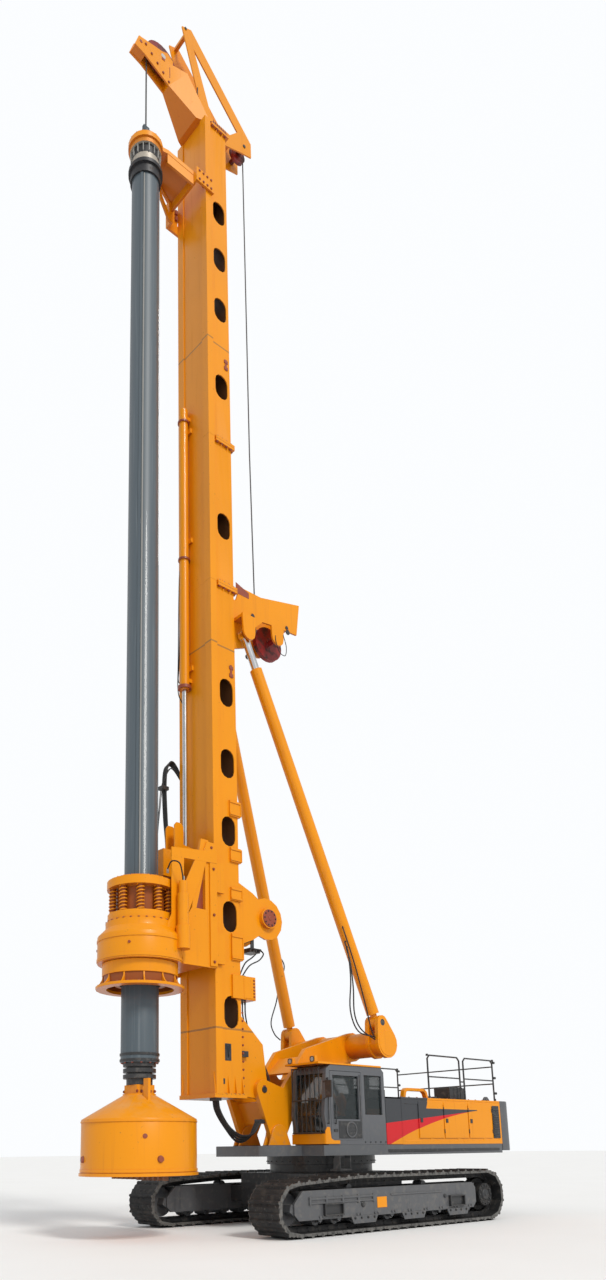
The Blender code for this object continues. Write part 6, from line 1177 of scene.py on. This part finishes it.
dress("kelly_tube", kelly_finish, 0.004)
dress("kelly_head", kelly_head_paint(), 0.003)
dress("kelly_stub", body_black, 0.003)
dress("kelly_guide", machine_yellow, 0.005)
weld("cap_ribs", collar_grey, "kelly",
     *[(slab, [around(reach, turn + lean)[:2] for reach, lean in
               ((0.35, -0.035), (0.402, -0.03), (0.402, 0.03), (0.35, 0.035))], "XY", 26.93, 27.18)
       for turn in [math.pi / 8 * step for step in range(16)]], bevel=0.004)
weld("kelly_keys", collar_grey, "kelly",
     *[(slab, [around(reach, turn + lean)[:2] for reach, lean in
               ((0.345, -0.045), (0.368, -0.045), (0.368, 0.045), (0.345, 0.045))], "XY", 5.32, 26.20)
       for turn in (math.radians(50), math.radians(170), math.radians(290))], bevel=0.003)
weld("sleeve_bands", body_black, "kelly",
     *[(lathe, hoop(0.39, 0.412, z, z + 0.05), KELLY_LINE, 40) for z in (3.46, 3.58, 5.22)], bevel=0.003)
bolt_circle("sleeve_bolts", shade_red_brown, "kelly", 0.045, (KELLY_X, 0, 3.44), 0.366, 12, (0, 0, -1))
bolt_circle("guide_bolts", shade_red_brown, "kelly_guide", 0.045, (KELLY_X, 0, 27.49), 0.435, 16, (0, 0, 1))
bolts("guide_side_bolts", shade_red_brown, "kelly_guide", 0.055,
      *[((3.60, side * 0.679, z), (4.00, side * 0.679, z), 4, (0, side, 0)) for z in (26.86, 27.14)
        for side in (1, -1)])
weld("guide_pads", shade_red_brown, "kelly_guide", (box, (3.76, 0.56, 26.84), (3.84, 0.625, 26.98)),
     (box, (3.76, 0.56, 27.04), (3.84, 0.625, 27.18)), bevel=0.005, both=True)


# Rotary drive and carriage
# The carriage is a welded frame that slides on the mast rails. It carries the gearbox, two motors and
# a drive sleeve on coil springs, with a flanged and ribbed casing drive below.


def springs_shade_mask(finish):
    """1 where painted red-brown shade darkens the core between the coil springs, and on the wall behind the
    skirt's ribs.
    """
    turned_x = finish.x - kelly_axis.x
    reach = (turned_x * turned_x + finish.y * finish.y).math("SQRT")
    core = (finish.z > 6.545) * (finish.z < 7.085)
    return core.math("MAXIMUM", (finish.z > 5.01) * (finish.z < 5.22) * (reach < 0.775))


# Painted shade: deep red-brown between the springs and behind the skirt's ribs.
core_yellow = yellow_paint("core_yellow", inside=springs_shade_mask, within=(0.30, 0.075, 0.012))
for node in ("carriage_frame", "rotary_housing"):
    dress(node, machine_yellow, 0.005)
for node in ("spring_pack", "casing_drive"):
    dress(node, core_yellow, 0.004)
for side in ("left", "right"):
    dress("rotary_motor_" + side, machine_yellow, 0.004)
coils = []
for spot in range(10):
    turn = math.radians(36 * (spot + 0.5))
    middle = at(*around(0.615, turn))
    coils.append([middle + Vector((0.074 * math.cos(step * math.pi / 5), 0.074 * math.sin(step * math.pi / 5),
                                   6.552 + 0.527 * step / 70)) for step in range(71)])
grow("coil_springs", round_skin, path_mesh(coils), machine_yellow, "drive", Radius=0.016, Sides=6)
bolt_circle("ring_bolts", shade_red_brown, "drive", 0.040, (KELLY_X, 0, 7.27), 0.665, 20, (0, 0, 1))
weld("ring_ribs", machine_yellow, "drive",
     *[(box, (x - 0.012, y - 0.012, 7.266), (x + 0.012, y + 0.012, 7.300))
       for x, y, _ in [around(0.66, math.pi / 12 * (step + 0.5)) for step in range(24)]],
     (lathe, hoop(0.60, 0.625, 7.265, 7.31), KELLY_LINE, 40), bevel=0.003)
bolt_circle("skirt_bolts", shade_red_brown, "drive", 0.050, (KELLY_X, 0, 5.01), 0.86, 24, (0, 0, 1), 0.13)
bolt_circle("housing_bolts", shade_red_brown, "carriage", 0.045, (KELLY_X, 0, 6.36), 0.722, 28, (0, 0, 1))
weld("housing_bands", machine_yellow, "carriage",
     *[(lathe, hoop(0.90, 0.918, *z), KELLY_LINE, 48) for z in ((5.52, 5.58), (5.93, 5.98))], bevel=0.004)
weld("drum_spots", shade_red_brown, "carriage",
     *[(rod, around(0.90, turn, 5.80), around(0.925, turn, 5.80), 0.032, 0.028, 12)
       for turn in (math.radians(40), math.radians(-40), math.radians(140), math.radians(220))], bevel=0.003)
truss = [(slab, [(3.74, 7.84), (5.00, 7.77), (5.00, 7.98), (4.10, 8.08), (4.02, 8.30), (3.80, 8.30),
                 (3.74, 8.10)], "XZ", 0.692, 0.726),
         (slab, [(4.66, 7.80), (5.00, 7.80), (5.00, 6.06), (4.72, 6.06)], "XZ", 0.693, 0.725),
         (slab, [(4.02, 7.86), (4.34, 7.86), (5.10, 6.30), (5.14, 6.04), (4.75, 6.04), (4.72, 6.20)], "XZ",
          0.694, 0.724), (box, (3.74, 0.692, 5.52), (3.94, 0.720, 7.90))]
weld("carriage_truss", machine_yellow, "carriage", *truss, both=True)
bolts("truss_bolts", shade_red_brown, "carriage", 0.055,
      *[((x, side * 0.725, z), (far, side * 0.725, to), count, (0, side, 0)) for side in (1, -1)
        for x, z, far, to, count in ((4.82, 6.10, 5.06, 6.10, 2), (3.84, 5.62, 3.84, 7.70, 3),
                                     (3.90, 8.18, 3.90, 8.18, 1))])
# A red-brown block behind the springs, in the painted shade colour.
weld("carriage_core", shade_red_brown, "carriage", (box, (3.86, -0.60, 6.50), (4.30, 0.60, 7.45)), bevel=0.01)
weld("crowd_cheeks", machine_yellow, "carriage",
     *[(slab, [(3.76, 8.0), (4.30, 8.0), (4.30, 8.86), (4.24, 8.94), (4.10, 8.94), (4.04, 8.86), (4.04, 8.44),
               (3.76, 8.40)], "XZ", y, y + 0.04) for y in (-0.425, -0.115)],
     (box, (4.30, -0.43, 7.60), (4.62, -0.07, 8.24)), bevel=0.008)
weld("crowd_pin", plated, "carriage", (bar, (3.85, -0.44, 8.22), (3.85, -0.06, 8.22), 0.05, 18), bevel=0.003)
weld("shoe_clamps", shade_red_brown, "carriage",
     *[(box, (3.735, 0.50, z), (3.80, 0.615, z + 0.12)) for z in (5.60, 7.90, 8.10)], both=True)
hoses("carriage_hoses", None, THICK_HOSE,
      *[[(3.62, -0.66, 10.30), (3.70, -0.75 - 0.035 * step, 10.62),
         (3.86, -0.75 - 0.035 * step, 10.74 - 0.02 * step), (4.00, -0.75 - 0.035 * step, 10.52),
         (4.04, -0.75 - 0.035 * step, 10.05), (4.01, -0.75 - 0.035 * step, 9.30),
         (3.98, -0.74 - 0.025 * step, 8.70), (3.98, -0.74 - 0.02 * step, 8.22)] for step in range(4)],
      blend=("mast", "carriage", at(4.0, 0, 10.3), at(4.0, 0, 9.0)))
hoses("thin_hoses", None, 0.010, *[[(3.62, -0.64, 10.20), (3.86, -0.74 - 0.05 * step, 10.58),
                                    (4.12, -0.74 - 0.05 * step, 10.10), (4.22, -0.74 - 0.04 * step, 9.40),
                                    (4.28, -0.74 - 0.03 * step, 8.80), (4.30, -0.73 - 0.03 * step, 8.22)]
                                   for step in range(2)], blend=("mast", "carriage", at(4.1, 0, 10.2),
       at(4.2, 0, 9.0)))
weld("hose_clamp", body_black, ("mast", "carriage", at(4.0, 0, 10.3), at(4.0, 0, 9.0)),
     (box, (3.96, -0.90, 9.98), (4.16, -0.72, 10.07)))
weld("hose_manifold", body_black, "carriage", (box, (3.88, -0.88, 8.02), (4.38, -0.69, 8.24)),
     (box, (3.90, -0.72, 7.86), (4.36, -0.69, 8.04)), bevel=0.008)
hoses("rotary_hoses", "carriage", HOSE,
      [(4.62, -0.68, 7.90), (4.74, -0.86, 8.20), (4.84, -1.04, 8.00), (4.86, -1.04, 7.60),
       (4.82, -0.92, 7.30), (4.80, -0.86, 7.20)],
      [(4.60, -0.67, 7.92), (4.72, -0.80, 8.32), (4.82, -0.98, 8.16), (4.83, -0.98, 7.66),
       (4.80, -0.88, 7.30), (4.78, -0.84, 7.20)],
      [(5.02, 0.60, 7.50), (5.06, 0.80, 7.62), (4.98, 0.96, 7.56), (4.88, 0.93, 7.36), (4.81, 0.87, 7.22)])
weld("hose_fittings", plated, "carriage",
     *[(rod, (4.80, side * 0.86, 7.19), (4.81, side * 0.88, 7.32), 0.030, 0.024, 12) for side in (1, -1)],
     (rod, (4.56, -0.66, 7.86), (4.64, -0.70, 7.94), 0.030, 0.024, 12),
     (rod, (4.98, 0.56, 7.44), (5.02, 0.61, 7.51), 0.030, 0.024, 12), bevel=0.002)


# Drilling bucket
# A rolled shell with a coned crown, opened below by a hinged gate with cast steel cutting teeth.


def below_gate(finish):
    """1 on the brown cast teeth."""
    return finish.z < 1.205


dress("bucket_shell", machine_yellow, 0.008)
dress("bucket_gate", yellow_paint("gate_yellow", inside=below_gate), 0.004)
weld("bucket_bands", machine_yellow, "kelly",
     *[(lathe, hoop(1.160, 1.178, z, z + high), KELLY_LINE, 64)
       for z, high in ((1.285, 0.055), (2.235, 0.035))], bevel=0.004)
weld("bucket_lugs", shade_red_brown, "kelly",
     *[(rod, around(1.14, turn, 1.53), around(1.205, turn, 1.53), 0.075, 0.055, 16)
       for turn in (math.radians(75), math.radians(255), math.radians(165), math.radians(-15))],
     *[(rod, around(1.14, turn, 1.96), around(1.176, turn, 1.96), 0.05, 0.046, 16)
       for turn in (math.radians(60), math.radians(240))], bevel=0.004)
bolts("socket_bolts", shade_red_brown, "kelly", 0.05,
      *[((5.06 + 0.11 * step, side * 0.225, 2.86), (5.06 + 0.11 * step, side * 0.225, 2.86), 1, (0, side, 0))
        for step in range(5) for side in (1, -1)])
bolt_circle("cone_bolts", shade_red_brown, "kelly", 0.050, (KELLY_X, 0, 2.302), 1.09, 20, (0, 0, 1))
